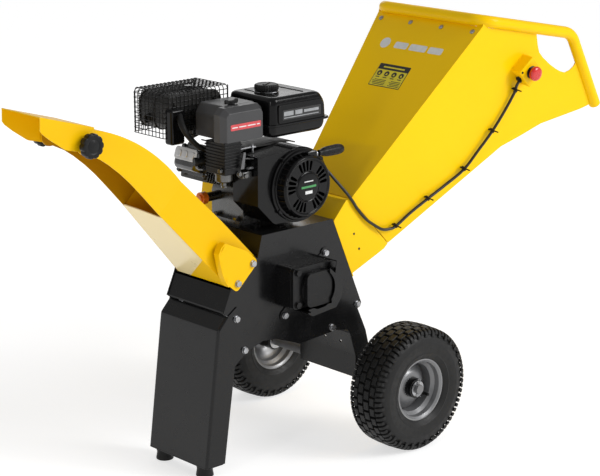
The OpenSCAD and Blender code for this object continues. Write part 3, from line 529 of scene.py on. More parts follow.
def hex_bolt(across=15.0, height=5.5, washer=18.0):
    """A flanged hexagon head on local Z = 0, chamfered; mm."""
    rim, top = washer / 2, height + 1.6
    bm = lathe([(0, 0), (rim - 0.3, 0), (rim, 0.3), (rim, 1.2), (rim - 0.4, 1.6), (0, 1.6)], 40)
    head = prism(circle(0, 0, across / 2 / math.cos(math.radians(30)), 6), 1.6, top)
    edges = [e for e in head.edges if all(abs(v.co.z - top * MM) < 1e-7 for v in e.verts)]
    bmesh.ops.bevel(head, geom=edges, offset=0.9 * MM, segments=2, profile=0.5, affect="EDGES")
    return add(bm, head)


# ---------------------------------------------------------------- parts that keep their CAD shape
for mat, width, nodes in (
    ("black", 0.8, ("housing_near_plate", "housing_far_plate")),
    ("black", 0.6, ("housing_wrap",)),
    ("black", 1.0, ("engine_mount_plate",)),
    ("black", 0.8, ("axle_brackets", "bearing_standoff")),
    ("black", 0.7, ("bearing_guard",)),
    ("cast", 1.2, ("flange_bearing_near", "flange_bearing_far")),
    ("steel", 0.8, ("rotor_drum",)),
    ("steel", 0.4, ("rotor_knives", "counter_knife")),
    ("yellow", 1.2, ("belt_cover",)),
    ("yellow", 0.9, ("hopper_shell",)),
    ("yellow", 0.8, ("hopper_throat",)),
    ("alloy", 1.6, ("crankcase",)),
    ("iron", 0.4, ("choke_lever",)),
    ("zinc", 0.4, ("throttle_lever",)),
):
    for node in nodes:
        soften(node, mat, width)

for node, mat in (
    ("rotor_shaft", "steel"), ("rotor_pulley", "iron"), ("clutch_pulley", "iron"), ("drive_belt", "rubber"),
    ("crankshaft", "steel"), ("starter_rope", "rope"), ("oil_cap", "orange"), ("engine_bolts", "zinc"),
):
    NODES[node].data.materials.clear()
    NODES[node].data.materials.append(MAT[mat])

# ---------------------------------------------------------------- wheels
LUGS = 36


def crown(y):
    """Radius of the tread surface at a distance across it."""
    a = abs(y)
    if a <= 40:
        return TYRE_R - 2.0 * (a / 40) ** 2
    return 145 + math.sqrt(max(18 ** 2 - (min(a, 57.9) - 40) ** 2, 0))


def tread_block(bm, side, y0, y1, mid, half, depth, inset, rows):
    """One raised block: y0..y1 across the tread on one side, mid and half in radians round it."""
    y0, y1 = sorted((side * y0, side * y1))
    levels = []
    for grow, drop in ((0.9, depth), (0.0, 0.9), (-inset, 0.0)):
        a = half + grow / TYRE_R
        ys = [y0 - grow + (y1 - y0 + 2 * grow) * k / rows for k in range(rows + 1)]
        ring = [(y, mid - a) for y in ys] + [(y, mid + a) for y in ys[::-1]]
        reach = [((crown(y) - drop) * MM, w, y * MM) for y, w in ring]
        levels.append([bm.verts.new((r * math.cos(w), r * math.sin(w), y)) for r, w, y in reach])
    bridge(bm, levels)
    top, n = levels[-1], len(ring)
    for k in range(rows):
        bm.faces.new((top[k], top[k + 1], top[n - 2 - k], top[n - 1 - k]))


def tyre_mesh():
    """Carcass, tread blocks in four rows with shoulder lugs, and the pips on its side walls."""
    side = [(78.4, -37.5), (79.5, -43), (83, -48), (89, -52), (95, -54.2), (97, -55.6), (99, -55.4),
            (101, -55), (108, -56.4), (117, -57.4), (122, -57.6), (124, -57.9), (126, -57.9), (128, -57.4),
            (136, -56.4), (143, -54), (149, -50), (153, -45), (155.5, -40), (157, -30), (157.6, -15),
            (157.8, 0)]
    outer = side + [(r, -y) for r, y in reversed(side[:-1])]
    inner = [(88, 42), (120, 49), (140, 46), (149, 32), (150, 0), (149, -32), (140, -46), (120, -49),
             (88, -42)]
    bm = lathe(outer + inner, 120, closed=True)
    for i in range(LUGS):
        for row, (y0, y1, half) in enumerate(((1.8, 18.4, 11.4), (22.4, 36.4, 10.6))):
            for s in (-1, 1):
                shift_by = (row + (s > 0)) % 2 * 0.5
                tread_block(bm, s, y0, y1, 2 * math.pi * (i + shift_by) / LUGS, half / TYRE_R, 6.6, 0.9, 2)
    for i in range(2 * LUGS):
        for s in (-1, 1):
            mid = 2 * math.pi * (i + 0.25 * s) / (2 * LUGS)
            tread_block(bm, s, 40.4, 56.6 if i % 2 else 53.4, mid, 4.6 / TYRE_R, 6.0, 0.8, 5)
    for i in range(20):
        w = 2 * math.pi * (i + 0.3) / 20
        c, s = math.cos(w), math.sin(w)
        for side in (-1, 1):
            add(bm, lathe([(0, 0), (1.1, 0), (0.8, 0.9), (0, 1.0)], 8),
                basis((c, s, 0), (0, 0, side), Vector((112 * MM * c, 112 * MM * s, side * 56.7 * MM))))
    return bm


BED = [(93.2, 48.6), (94.4, 47.6), (94.4, 46.2), (92.5, 45.2), (80, 42.6), (77.2, 38), (76.4, 27), (67.5, 19)]
RIM = BED + [(r, -y) for r, y in BED[::-1]]
RIM += [(80, -46.5), (74.6, -42), (73.4, -29), (64.4, -21), (64.2, -12), (61, -7), (54, -2), (47, 3.4),
        (40, 8.4), (36, 10.6), (30, 11.6), (25, 11.6), (25, 14.4), (31, 14.4), (37, 13.4), (42, 10.8),
        (49, 5.6), (56, 0.2), (62.6, -5), (65, -9), (64.6, 20), (72.8, 28), (73.8, 42), (79, 46.6)]


def cotter(side):
    """Split pin through the axle end with a loop on top and its legs bent apart."""
    bm = bmesh.new()
    y = side * (WHEEL_Y + 41)
    for s in (-1, 1):
        leg = ((1.1, 20), (1.1, 0), (1.1, -16), (2.4, -19), (6.5, -21.5))
        add(bm, tube([P(s * x, y, TYRE_R + z) for x, z in leg], 0.95, 8))
    turns = [math.radians(18 + 32.4 * k) for k in range(11)]
    ring = [P(4.4 * math.sin(w), y, TYRE_R + 23.6 - 4.4 * math.cos(w)) for w in turns]
    return add(bm, tube(ring, 0.95, 8))


def wheel(side, tag):
    """Tyre, rim, hub tube and valve of one wheel."""
    body = tag + "_wheel"
    at = outward(side, 0, side * WHEEL_Y, TYRE_R)
    piece("tyre_tread_" + tag, place(tyre_mesh(), at), "tyre", "tyre_" + tag, body, angle=35)
    bm = lathe(RIM, 96, closed=True)
    for w in round_steps(24):
        bead = lathe([(0, -1.2), (1.5, -0.8), (2.0, 0), (1.5, 1.0), (0, 1.4)], 8)
        add(bm, bead, shift(26.6 * math.cos(w), 26.6 * math.sin(w), 14.6))
    piece("rim_dish_" + tag, place(bm, at), "rim", "wheel_rim_" + tag, body, angle=32)
    hub = lathe([(12.7, -45.5), (13.2, -46), (25, -46), (26, -45), (26, 33), (25.2, 34), (13.4, 34),
                 (12.7, 33.4)], 64, closed=True)
    piece("hub_tube_" + tag, place(hub, at), "black", body=body)
    stem = [(0, -9), (6.5, -9), (6.8, -6), (5, -3), (4.4, 4), (4.3, 18), (3.6, 21), (3.2, 22), (3.9, 22.6),
            (3.9, 31.5), (3.3, 32.8), (0, 33)]
    piece("valve_" + tag, place(lathe(stem, 24), at @ shift(45, 28 * side, 0)), "rubber",
          "valve_stem_" + tag, body)


for s, tag in ((-1, "near"), (1, "far")):
    wheel(s, tag)

bm = bmesh.new()
for s in (-1, 1):
    for radius, inner_face in ((21.0, WHEEL_Y + 34.3), (22.0, WHEEL_Y - 49.3)):
        ring = lathe([(12.7, 0), (radius - 0.5, 0), (radius, 0.5), (radius, 2.5), (radius - 0.5, 3),
                      (12.7, 3)], 48, closed=True)
        add(bm, place(ring, outward(s, 0, s * inner_face, TYRE_R)))
    add(bm, cotter(s))
piece("washers_and_pins", bm, "zinc", "wheel_retainers")
bar = lathe([(0, -326), (11.6, -326), (12.45, -325), (12.45, 325), (11.6, 326), (0, 326)], 48)
piece("axle_bar", place(bar, along_y(0, 0, TYRE_R)), "axle_end", "axle")

# ---------------------------------------------------------------- bolts
LEG, EAR = ((-445, 403), (-419, 316)), ((-390, 536), (-440, 494))
BRACKET, GUARD = ((-22, 354), (-113, 309)), ((-141, 517), (-282, 378))


def through_bolt(bm, x, z, face, inside, side):
    """A bolt from the outer face through to a nut on the inner one, each turned its own way."""
    turn = math.radians((x * 7 + z * 3) % 60)
    flat = (math.cos(turn), 0, math.sin(turn))
    grip = face - inside + 9
    add(bm, hex_bolt(), basis(flat, (0, side, 0), P(x, side * face, z)))
    add(bm, lathe([(0, 0), (3.9, 0), (3.9, grip), (0, grip)], 24), outward(-side, x, side * face, z))
    add(bm, prism(circle(0, 0, 8.2, 6), 0, 6.5), basis(flat, (0, -side, 0), P(x, side * (inside - 0.3), z)))


bm = bmesh.new()
for s in (-1, 1):
    for spots, face, inside in ((LEG, PLATE_Y, 108), (EAR, 115.8, 108), (BRACKET, 112, 104)):
        for x, z in spots:
            through_bolt(bm, x, z, face, inside, s)
for x, z in GUARD:
    through_bolt(bm, x, z, PLATE_Y, 108, -1)
piece("frame_bolt_set", bm, "zinc", "frame_bolts", angle=25)

# screws of the back panel: pan heads with a cross recess
bm = bmesh.new()
tilt = SLOPE + BACK_LEAN
for y in (-170, -57, 57, 170):
    c, s = math.cos(BACK_LEAN), math.sin(BACK_LEAN)
    m = basis((math.cos(tilt), 0, math.sin(tilt)), (-math.sin(tilt), 0, math.cos(tilt)),
              hop(556 * c - 0.05 * s, y, 556 * s + 0.05 * c))
    add(bm, lathe([(0, 0), (7.2, 0), (7.2, 1.0), (6.2, 1.2), (6.0, 2.0), (4.8, 3.1), (2.6, 3.6), (0, 3.7)],
                  32), m)
    for a in (20, 110):
        add(bm, box(-2.6, -0.5, 3.2, 2.6, 0.5, 3.78), m @ spin(math.radians(a + y)))
    add(bm, lathe([(0, -12), (2.9, -12), (2.9, 0), (0, 0)], 20), m)
piece("panel_screws", bm, "zinc", "hopper_screws", angle=30)

# ---------------------------------------------------------------- handle tube
HALF_LOOP = [panel(a, 1.5, c) for a, c in ((729, -482), (788, -239), (594, 35))]
corners = HALF_LOOP + [Vector((q.x, -q.y, q.z)) for q in HALF_LOOP[::-1]]
path = bend_path(corners, (0, 60, 45, 45, 60, 0), 14)
bm = tube(path, 16, 32)
for end, before in ((path[0], path[1]), (path[-1], path[-2])):
    d = (end - before).normalized()
    plug = lathe([(0, -1), (15.2, -1), (15.2, 1.2), (14, 2.4), (0, 3.2)], 32)
    add(bm, plug, basis(d.orthogonal(), d, end))
piece("handle_bar", bm, "yellow", "handle_tube")

# ---------------------------------------------------------------- deflector knobs
def knob(side):
    """A hand knob; each row is a radius and height in mm and a share of the flutes' depth."""
    rings = []
    for r, z, wave in ((8, 0, 0), (13, 0, 0), (13, 8, 0), (26, 9, 0.3), (29.4, 11, 1), (30, 13, 1),
                       (30, 24, 1), (28.6, 27, 1), (25, 28, 0.6), (19, 27.4, 0), (17, 26.2, 0), (15, 26, 0),
                       (12.8, 27.4, 0), (0.01, 27.8, 0)):
        ring = []
        for k, w in enumerate(round_steps(120)):
            flute = r - wave * 2.6 * (0.5 - 0.5 * math.cos(10 * 2 * math.pi * k / 120)) ** 3
            ring.append((flute * MM * math.cos(w), flute * MM * math.sin(w), z * MM))
        rings.append(ring)
    return place(skin(rings), outward(side, PIVOT[0], side * 75.4, PIVOT[1]))


for s, tag in ((-1, "near"), (1, "far")):
    piece("knob_" + tag, knob(s), "plastic", "deflector_knob_" + tag, "knob_" + tag)
    stud = lathe([(0, 50), (3.9, 50), (3.9, 76), (0, 76)], 20)
    add(stud, lathe([(0, 57), (7.5, 57), (7.5, 66), (0, 66)], 6))
    piece("knob_stud_" + tag, place(stud, outward(s, PIVOT[0], 0, PIVOT[1])), "zinc", body="knob_" + tag,
          angle=25)

# ---------------------------------------------------------------- engine: fan cover and recoil starter
def front_rounded(outline, y_near, y_far, front, back=0.8, segments=4):
    """A moulded cover: a wide round on the near edge, a fine one at the back."""
    bm = prism(outline, -y_far, -y_near)
    for y, width, steps in ((y_near, front, segments), (y_far, back, 2)):
        round_edges(bm, width, steps, 60, lambda e: all(abs(v.co.z + y * MM) < 1e-6 for v in e.verts))
    return place(bm, SIDE_ON)


fan_shape = fillet([(-358, 672), (-358, 794), (-352, 798)], (6, 3, 3))[:21]
fan_shape += circle(*CRANK, 97, 60, 106.5, -214.5) + [(-300, 618), (-308, 622)]
bm = front_rounded(fan_shape, -101, -6, 7)
piece("fan_shroud", bm, "engine", "fan_cover", angle=30)
cowl = fillet([(-332, 797.6), (-332, 801), (-222, 803), (-168, 801), (-146, 794), (-146, 790.6), (-170, 797),
               (-222, 799.4)], (1, 4, 0, 6, 1, 1, 6, 0))
bm = place(prism(cowl, -66, 7, 0.6), SIDE_ON)
add(bm, prism([(-400, 822.4), (-400, 826), (-330, 801.4), (-330, 797.8)], -66, -2, 0.6), SIDE_ON)
add(bm, front_rounded([(-326, 801.4), (-326, 806), (-236, 808), (-190, 806), (-172, 800.6)], -22, 40, 1.2))
piece("cylinder_shroud", bm, "heat", angle=30)

at = along_y(CRANK[0], -101, CRANK[1])
bm = lathe([(78, 0.2), (94, 0.2), (95, 1.2), (95, 5), (94, 6.2), (91, 6.6), (90, 7.6), (89.6, 10.8),
            (88.4, 12.2), (86, 12.6), (79.5, 12.8), (76.6, 29), (78.4, 29.2), (78.8, 30.2), (76.6, 32.4),
            (75.6, 34.4), (74.2, 35), (71.4, 35), (70.2, 34.4), (69.6, 33.2), (68.4, 32.8), (68.2, 30),
            (74, 29), (77, 12), (78, 4)], 160, closed=True)
for w in round_steps(36):
    rib = prism([(78.5, -1.1), (84.4, -0.9), (84.4, 0.9), (78.5, 1.1)], 12.4, 20)
    for v in [v for v in rib.verts if v.co.z > 0.015]:
        v.co.z = (30.0 if v.co.x < 0.08 else 29.4) * MM
        if v.co.x > 0.08:
            v.co.x = 79.2 * MM
    add(bm, rib, spin(w))
for a in (40, 130, 220, 310):
    c, s = math.cos(math.radians(a)), math.sin(math.radians(a))
    add(bm, lathe([(0, 0), (8.5, 0), (8.5, 8.5), (7.6, 9.6), (0, 9.6)], 28), shift(88 * c, 88 * s, 0))
add(bm, box(8, 62, 5, 40, 84, 26, 3, 3))
piece("recoil_shell", place(bm, at), "engine", "recoil_housing", angle=32)

slots = []
for middle in (97, 169, 241, 313, 25):
    for k, inside, outside in ((-1.5, 44.4, 62.2), (-0.5, 43.6, 63.2), (0.5, 43.6, 63.2), (1.5, 44.4, 62.2)):
        w = math.radians(middle + 12.4 * k)
        ends = [math.radians(-90 + 30 * i) for i in range(7)]
        ring = [(outside + 4.2 * math.cos(t), 4.2 * math.sin(t)) for t in ends]
        ring += [(inside - 2.9 * math.cos(t), -2.9 * math.sin(t)) for t in ends]
        slots.append([(x * math.cos(w) - y * math.sin(w), x * math.sin(w) + y * math.cos(w))
                      for x, y in ring])
bm = prism(circle(0, 0, 68.6, 120), 30.2, 32.8, holes=slots)
round_edges(bm, 0.8, 2, 40, lambda e: all(v.co.z > 0.0327 for v in e.verts))
add(bm, lathe([(36, 32.6), (39.6, 32.6), (39.6, 33.4), (38.9, 34.6), (37.4, 35.4), (36, 34.6)], 96,
              closed=True))
piece("recoil_face", place(bm, at), "engine", angle=30)
bm = lathe([(0, 12), (68.1, 12), (68.1, 17), (0, 17)], 72)
for w in round_steps(18):
    add(bm, box(20, -1, 16, 66, 1, 21), spin(w))
piece("recoil_reel_shadow", place(bm, at), "shadow")
bm = lathe([(0, 32.5), (35.8, 32.5), (35.8, 34.2), (35, 35), (33, 35.4), (28, 36), (16, 36.9), (0, 37.2)], 96)
piece("recoil_emblem", place(bm, at), "engine", angle=30)
for name, mat, rows in (
    ("recoil_emblem_pale", "label_white", ((13, 15.6, 15), (-18, -10, 12))),
    ("recoil_emblem_green", "label_green", ((-2.4, 3.2, 25),)),
):
    bm = bmesh.new()
    for y0, y1, half in rows:
        add(bm, box(-half, y0, 35.4, half, y1, 37.5, 0.3))
    piece(name, place(bm, at), mat)
ROPE = (-117, 784)
bm = lathe([(4.2, 0), (8.4, 0), (9, 0.8), (9, 2.6), (8.2, 3.4), (4.2, 3.6)], 40, closed=True)
piece("rope_eyelet", place(bm, basis((0, 1, 0), (1, 0, 0), P(-180, *ROPE))), "zinc")

grip = [(3.1, -1.5), (6.4, -1.5), (7.4, -0.4), (7.6, 6), (8.6, 9), (10.6, 15), (11.9, 24), (12.2, 25),
        (11.6, 26), (11.6, 28), (12.4, 29.2), (12.9, 38), (12.2, 39), (12.2, 41), (13.1, 42.2), (13.4, 52),
        (12.7, 53), (12.7, 55), (13.4, 56.2), (13.2, 66), (12.4, 74), (10.6, 79.4), (8.2, 82), (7.4, 82.2),
        (6.6, 81), (0, 80.6)]
bm = lathe([(0, -1.5)] + grip, 56)
ROD = Matrix(((0, 1, 0, 0), (0, 0, 1, 0), (1, 0, 0, 0), (0, 0, 0, 1)))
for w in round_steps(10):
    line = [(x * MM, r * MM, 0) for r, x in ((9.6, 12), (12.2, 26), (12.9, 40), (13.3, 54), (13.0, 66),
                                             (11.6, 75))]
    add(bm, place(tube(line, [0.6, 0.9, 0.9, 0.9, 0.9, 0.5], 8), ROD), spin(w))
grip_at = basis((0, 0, 1), (1, 0, 0), P(-166, *ROPE))
piece("grip_body", place(bm, grip_at), "plastic", "starter_handle", "pull_starter", angle=38)
bm = lathe([(0, 80.4), (5.6, 80.4), (6.4, 81), (6.4, 82.4), (5.2, 83.2), (0, 83.6)], 32)
piece("grip_end_ferrule", place(bm, grip_at), "alloy", body="pull_starter")

# ---------------------------------------------------------------- engine: tank and filler cap
bm = loft([slab(-294, -84, -134, 64, 835.8, 16), slab(-301, -89, -126, 69, 838.6, 18),
           slab(-304.6, -92, -121, 72, 844, 18), slab(-306, -93.6, -118, 74, 853, 18),
           slab(-306, -94, -116.6, 74, 864, 18)])
add(bm, loft([slab(-311, -99, -108, 79, 864, 17), slab(-312, -100, -107, 80, 865, 18),
              slab(-312, -100, -107, 80, 869, 18), slab(-311, -99, -108, 79, 870, 17)]))
dome = []
for z, g, slope in ((869, 0, 0), (874, 0.4, 0.2), (886, 0.8, 0.6), (898, 1.1, 1), (906, 1.3, 2.4),
                    (914, 1.6, 5.6), (921, 2, 10), (927, 2.8, 14), (931, 4.2, 17), (934, 6.8, 20.5),
                    (936, 10.6, 25), (936.9, 16, 31)):
    dome.append(slab(-306 + g, -96 + g, -115 - g * 0.4 - slope, 76 - g, z, max(19 - g * 0.5, 8)))
add(bm, loft(dome))
for x in (-268, -178):
    add(bm, tube([P(x, -70, 936.4), P(x, 48, 936.4)], 2.2, 10))
piece("tank_shell", bm, "engine", "fuel_tank", angle=34)
panel_shape = fillet([(-285, 871), (-285, 918), (-141, 918), (-131, 905), (-130, 871)], 6)
bm = front_rounded(panel_shape, -98.4, -95.5, 1.0, 0.2, 3)
piece("tank_side_panel", bm, "engine")
bm = plate(rounded(-272, 879, -142, 904, 3), -98.9, -98.2, 0.15)
piece("tank_label_ground", bm, "label_dark")
bm = bmesh.new()
for x0, x1, z0, z1 in ((-268, -236, 889, 900), (-230, -206, 889, 900), (-200, -150, 891, 898),
                       (-268, -150, 883, 885.4)):
    add(bm, plate(rounded(x0, z0, x1, z1, 1), -99.3, -98.7, 0.1))
piece("tank_label_bars", bm, "label_silver")

bm = lathe([(20.8, 934), (33, 934.4), (34, 935.6), (33.6, 937.6), (31, 938.4), (26, 938.2), (20.8, 938)],
           72, closed=True)
piece("tank_neck_ring", place(bm, spot(-238, 0, 0)), "zinc")
cap_rings = []
for r, z, wave in ((27, 939, 0.2), (30.4, 939.6, 1), (31, 941, 1), (31, 950.4, 1), (30, 953, 0.9),
                   (27.6, 954.6, 0.4), (24, 955, 0), (22.8, 954.2, 0), (12, 954.4, 0), (0.02, 954.5, 0)):
    fluted = [(r - 1.5 * wave * (0.5 + 0.5 * math.cos(30 * w)), w) for w in round_steps(240)]
    cap_rings.append([(q * math.cos(w) - 238, q * math.sin(w), z) for q, w in fluted])
bm = loft(cap_rings)
add(bm, box(-20, -4, 954, 20, 4, 956.6, 1.4, 3), spot(-238, 0, 0) @ spin(0.5))
piece("filler_cap", bm, "plastic", "fuel_cap", "tank_cap", angle=36)

# ---------------------------------------------------------------- engine: air filter
rims = []
for y, g in ((-50.4, -1), (-51, 0), (-70, 0), (-71.6, -0.6), (-83.4, -11.6), (-84.6, -12.8), (-85, -14)):
    outline = [(-456 - g, 843), (-456 - g, 913 + g * 0.5), (-441 - g * 0.5, 928 + g), (-332, 928 + g),
               (-320 + g * 0.5, 918 + g), (-320 + g * 0.5, 843)]
    rims.append([(x, y, z) for x, z in fillet(outline, (3, 4, 4, 5, 5, 3))])
bm = loft(rims)
for outline, back, front, width in (
    ([(-440, 846), (-440, 904), (-424, 928), (-322, 928), (-322, 846)], -38, 49.5, 1.6),
    ([(-436, 848), (-436, 902), (-421, 923), (-327, 923), (-327, 848)], 49, 52, 0.0),
):
    add(bm, prism(fillet(outline, (3, 8, 8, 5, 3)), back, front, width, 3), SIDE_ON)
add(bm, plate(rounded(-450, 841.6, -321, 846.4, 2), -78, -51, 1.0))
piece("filter_cover", bm, "satin", "air_filter_box", angle=34)
bm = plate(rounded(-431, 872, -333, 887, 2.4), -85.6, -84.9, 0.2)
piece("filter_label", bm, "label_red")
bm = bmesh.new()
for x0, x1 in ((-427, -409), (-405, -381), (-377, -351), (-347, -337)):
    add(bm, plate(rounded(x0, 878, x1, 880.6, 0.8), -85.95, -85.5, 0.1))
piece("filter_label_bars", bm, "label_white")
bm = lathe([(0, 916), (2.9, 916), (2.9, 928.4), (9, 928.6), (9.6, 929.4), (9.2, 934), (7, 936), (0, 936)], 36)
wing = fillet([(-20, 930), (-21, 939), (-17, 942), (-8, 938.4), (8, 938.4), (17, 942), (21, 939),
               (20, 930)], 2.2)
add(bm, place(prism(wing, -3, 3, 1.2, 3), STAND))
piece("filter_wing_nut", place(bm, spot(-392, -42, 0)), "plastic", "air_filter_knob", "filter_knob", angle=36)

# ---------------------------------------------------------------- engine: carburettor side
FROM_AXLE = spot(0, 0, 0)
bm = box(-449, -82, 762, -395, -10, 843, 2.4, 3)
for i in range(8):
    add(bm, box(-451.4, -84.4, 775.6 + i * 8, -392.6, -8, 779.4 + i * 8, 1.2, 3))
add(bm, box(-398, -60, 770, -361, -20, 800, 2, 3))
piece("intake_box", place(bm, FROM_AXLE), "plastic", "carburettor", angle=36)
bm = bmesh.new()
bowl = [(0, 728), (6.4, 728), (7.6, 729), (7.8, 735), (9, 737), (18, 738.4), (21.4, 741.4), (22.2, 746),
        (22.2, 758), (24, 759), (24, 762), (0, 762)]
add(bm, lathe(bowl, 56), spot(-422, -46, 0))
add(bm, hex_bolt(12, 5, 0.1), basis((1, 0, 0), (0, 0, -1), P(-422, -46, 729)))
LEFT, NEAR = (-1, 0, 0), (0, -1, 0)
for x, y, z, out in ((-452, -70, 774, LEFT), (-407, -85, 762, NEAR), (-383, -60.5, 781, NEAR),
                     (-372, -60.5, 776, NEAR)):
    add(bm, hex_bolt(11, 5, 14), basis((0, 0, 1), out, P(x, y, z)))
add(bm, tube([P(-396, -84, 799), P(-380, -84, 796.5), P(-343, -84, 790)], 2.0, 12))
add(bm, tube([P(-343, -84, 790), P(-343, -70, 789)], 2.0, 12))
add(bm, lathe([(0, 0), (5.4, 0), (6, 0.8), (6, 7), (5.4, 8), (0, 8)], 28),
    basis((1, 0, 0), (0, -1, 0), P(-383, -80, 753)))
add(bm, box(-390, -82, 745, -360, -62, 762, 2.4, 3), FROM_AXLE)
piece("carburettor_bright_parts", bm, "alloy", angle=30)
coil = [(k / 120, 14 * math.pi * k / 120) for k in range(121)]
coil = [P(-377 + 22 * t, -82 + 3.2 * math.cos(w), 770 + 3.2 * math.sin(w)) for t, w in coil]
piece("governor_spring", tube(coil, 0.55, 8), "zinc")

# ---------------------------------------------------------------- engine: block
TILT = math.radians(18)  # how far the cylinder lies down from level
# Z runs from the crank to the head, X to +Y.
HEAD = basis((0, 1, 0), (-math.cos(TILT), 0, math.sin(TILT)), P(CRANK[0], 61, CRANK[1]))


def column(levels):
    """A skin over (outline, height) levels, local frame, mm."""
    return skin([[(x * MM, y * MM, h * MM) for x, y in outline] for outline, h in levels])


bm = column([(rounded(-42, -36, 42, 36, 6), h) for h in (86, 212)])
for i in range(12):
    add(bm, prism(fillet([(-51, -43), (-51, 47), (51, 47), (51, -43)], 6), 112 + i * 8.4, 115 + i * 8.4, 0.7))
for y, z in ((-38, -30), (38, -30), (-38, 34), (38, 34)):
    add(bm, lathe([(0, 100), (8, 100), (8, 213), (0, 213)], 20), shift(y, z, 0))
piece("cylinder_fins", place(bm, HEAD), "alloy", "cylinder_block", angle=32)
bm = prism(fillet([(-53, -36), (-53, 36), (53, 36), (53, -36)], 11), 212.2, 218, 0.8)
levels = [(217, 0), (226, 0.4), (238, 1.2), (243, 2.6), (246.6, 5), (248.8, 8.6), (249.4, 13)]
add(bm, column([(rounded(-46 + g, -29 + g, 46 - g, 29 - g, max(14 - g * 0.35, 6)), h) for h, g in levels]))
for y, z in ((-47, -30), (47, -30), (-47, 30), (47, 30)):
    add(bm, hex_bolt(10, 5, 14), shift(y, z, 218))
piece("head_cover", place(bm, HEAD), "cover", "valve_cover", angle=36)
bm = prism(rounded(-42, -27, 42, 5, 9), 247.6, 251.2, 1.2, 3)
for x0, x1 in ((-34, -14), (-8, 10), (16, 34)):
    add(bm, prism(rounded(x0, -20, x1, -2, 6), 250.8, 253.2, 1.1, 3))
piece("head_cover_panel", place(bm, HEAD), "plate_bright", angle=36)

# ---------------------------------------------------------------- engine: muffler and its cage
CX0, CX1, CY0, CY1, CZ0, CZ1 = -518, -312, 60, 196, 840, 956
wires = bmesh.new()


def bent(a, b, c):
    """Points of a right-angle bend at b."""
    return [tuple(p) for p in bend_path([a, b, c], (0, 11 / MM, 0), 5)[1:-1]]


def wire(start, bends, end):
    """A wire of the cage from start, round its bends, to end; mm."""
    points = [start] + [p for turn in bends for p in bent(*turn)] + [end]
    add(wires, tube([P(*p) for p in points], 1.15, 8))


for k in range(16):
    x = CX0 + 12 + (CX1 - CX0 - 16) * k / 15
    near, far, top = CY0 + 1.2, CY1 - 1.2, CZ1 - 1.2
    wire((x, near, CZ0 + 1), (((x, near, CZ0), (x, near, top), (x, CY1, top)),
                              ((x, CY0, top), (x, far, top), (x, far, CZ0))), (x, far, CZ0 + 1))
for k in range(9):
    z = CZ0 + 2 + (CZ1 - CZ0 - 15) * k / 8
    near, far, left = CY0 + 3.2, CY1 - 3.2, CX0 + 1.2
    wire((CX1 - 1, near, z), (((CX1, near, z), (left, near, z), (left, CY1, z)),
                              ((left, CY0, z), (left, far, z), (CX1, far, z))), (CX1 - 1, far, z))
for k in range(9):
    y = CY0 + 12 + (CY1 - CY0 - 24) * k / 8
    left, top = CX0 + 1.2, CZ1 - 3.2
    wire((CX1 - 1, y, top), (((CX1, y, top), (left, y, top), (left, y, CZ0)),), (left, y, CZ0 + 1))
for y in (CY0 + 2, CY1 - 2):
    add(wires, tube([P(CX1 - 1.6, y, CZ0 + 1), P(CX1 - 1.6, y, CZ1 - 2)], 1.5, 8))
add(wires, lathe([(0, 0), (9, 0), (9, 1.6), (0, 1.6)], 28), spot(-404, 110, 955.2))
add(wires, lathe([(0, 0), (5, 0), (5, 18), (0, 18)], 24), spot(-404, 110, 937))
piece("cage_wires", wires, "engine", "muffler_guard", angle=60, weighted=False)
bm = prism(rounded(-498, 852, -328, 944, 30, 10), -184, -76, 2.4, 3)
for y in (-187, -130, -74):
    add(bm, prism(rounded(-500.5, 849.5, -325.5, 946.5, 32, 10), y - 1.4, y + 1.4, 0.8))
place(bm, SIDE_ON)
add(bm, tube([P(-400, 100, 858), P(-400, 100, 842), P(-396, 92, 826)], [15, 15, 14], 28))
outlet = lathe([(0, 0), (9.5, 0), (9.5, 12), (10.4, 13), (12, 12.4), (12.2, 0)], 40)
add(bm, outlet, basis((0, 1, 0), (-1, 0, 0), P(-494, 150, 880)))
for x, z in ((-478, 872), (-348, 872), (-478, 924), (-348, 924)):
    add(bm, hex_bolt(10, 4, 14), along_y(x, 73, z))
piece("muffler_can", bm, "heat", "muffler", angle=34)
bm = box(-511, 45, 826, -467, 75, 915, 7, 4)
piece("exhaust_shield", place(bm, FROM_AXLE), "engine", angle=36)
hose = ((-482, 50, 898), (-497, 24, 884), (-498, 10, 868), (-483, 10, 849), (-461, 10, 828), (-435, 8, 812),
        (-404, 4, 802))
hose = [P(*p) for p in smooth(hose, 6)]
bm = tube(hose, [8.5 - 2.5 * k / (len(hose) - 1) for k in range(len(hose))], 20)
piece("breather_hose", bm, "rubber", angle=60)
lead = ((-462, 16, 784), (-439, 8, 785), (-419, 2, 790), (-402, -2, 797), (-376, -6, 803), (-345, -8, 806))
lead = [P(*p) for p in smooth(lead, 7)]
bm = tube(lead, [7.5 if k < 16 else 6.4 if k < 18 else 3.6 for k in range(len(lead))], 20)
add(bm, lathe([(0, -3), (10, -3), (11, -1), (11, 6), (9.6, 8), (0, 8)], 32),
    basis((0, 1, 0), lead[2] - lead[0], lead[0]))
piece("plug_lead", bm, "rubber", "spark_lead", angle=50)

# ---------------------------------------------------------------- discharge chute
def upright(bm, matrix, side=1):
    """Stands a prism up in X and Z, its height towards the given side, then places it."""
    return place(bm, matrix @ Matrix(((1, 0, 0, 0), (0, 0, side, 0), (0, 1, 0, 0), (0, 0, 0, 1))))


def arc_z(x, r=476.6):
    """Height of the chute's round back over its deck, mm."""
    return -376.6 + math.sqrt(r * r - (x - 320) ** 2)


def arc_band(x0, x1, x2, r0, r1):
    """A strip of the round back: from x0 to x1 at one radius, and from x2 back to x0 at the other."""
    out = [(x, arc_z(x, r0)) for x in np.linspace(x0, x1, 48)]
    return out + [(x, arc_z(x, r1)) for x in np.linspace(x2, x0, 48)]


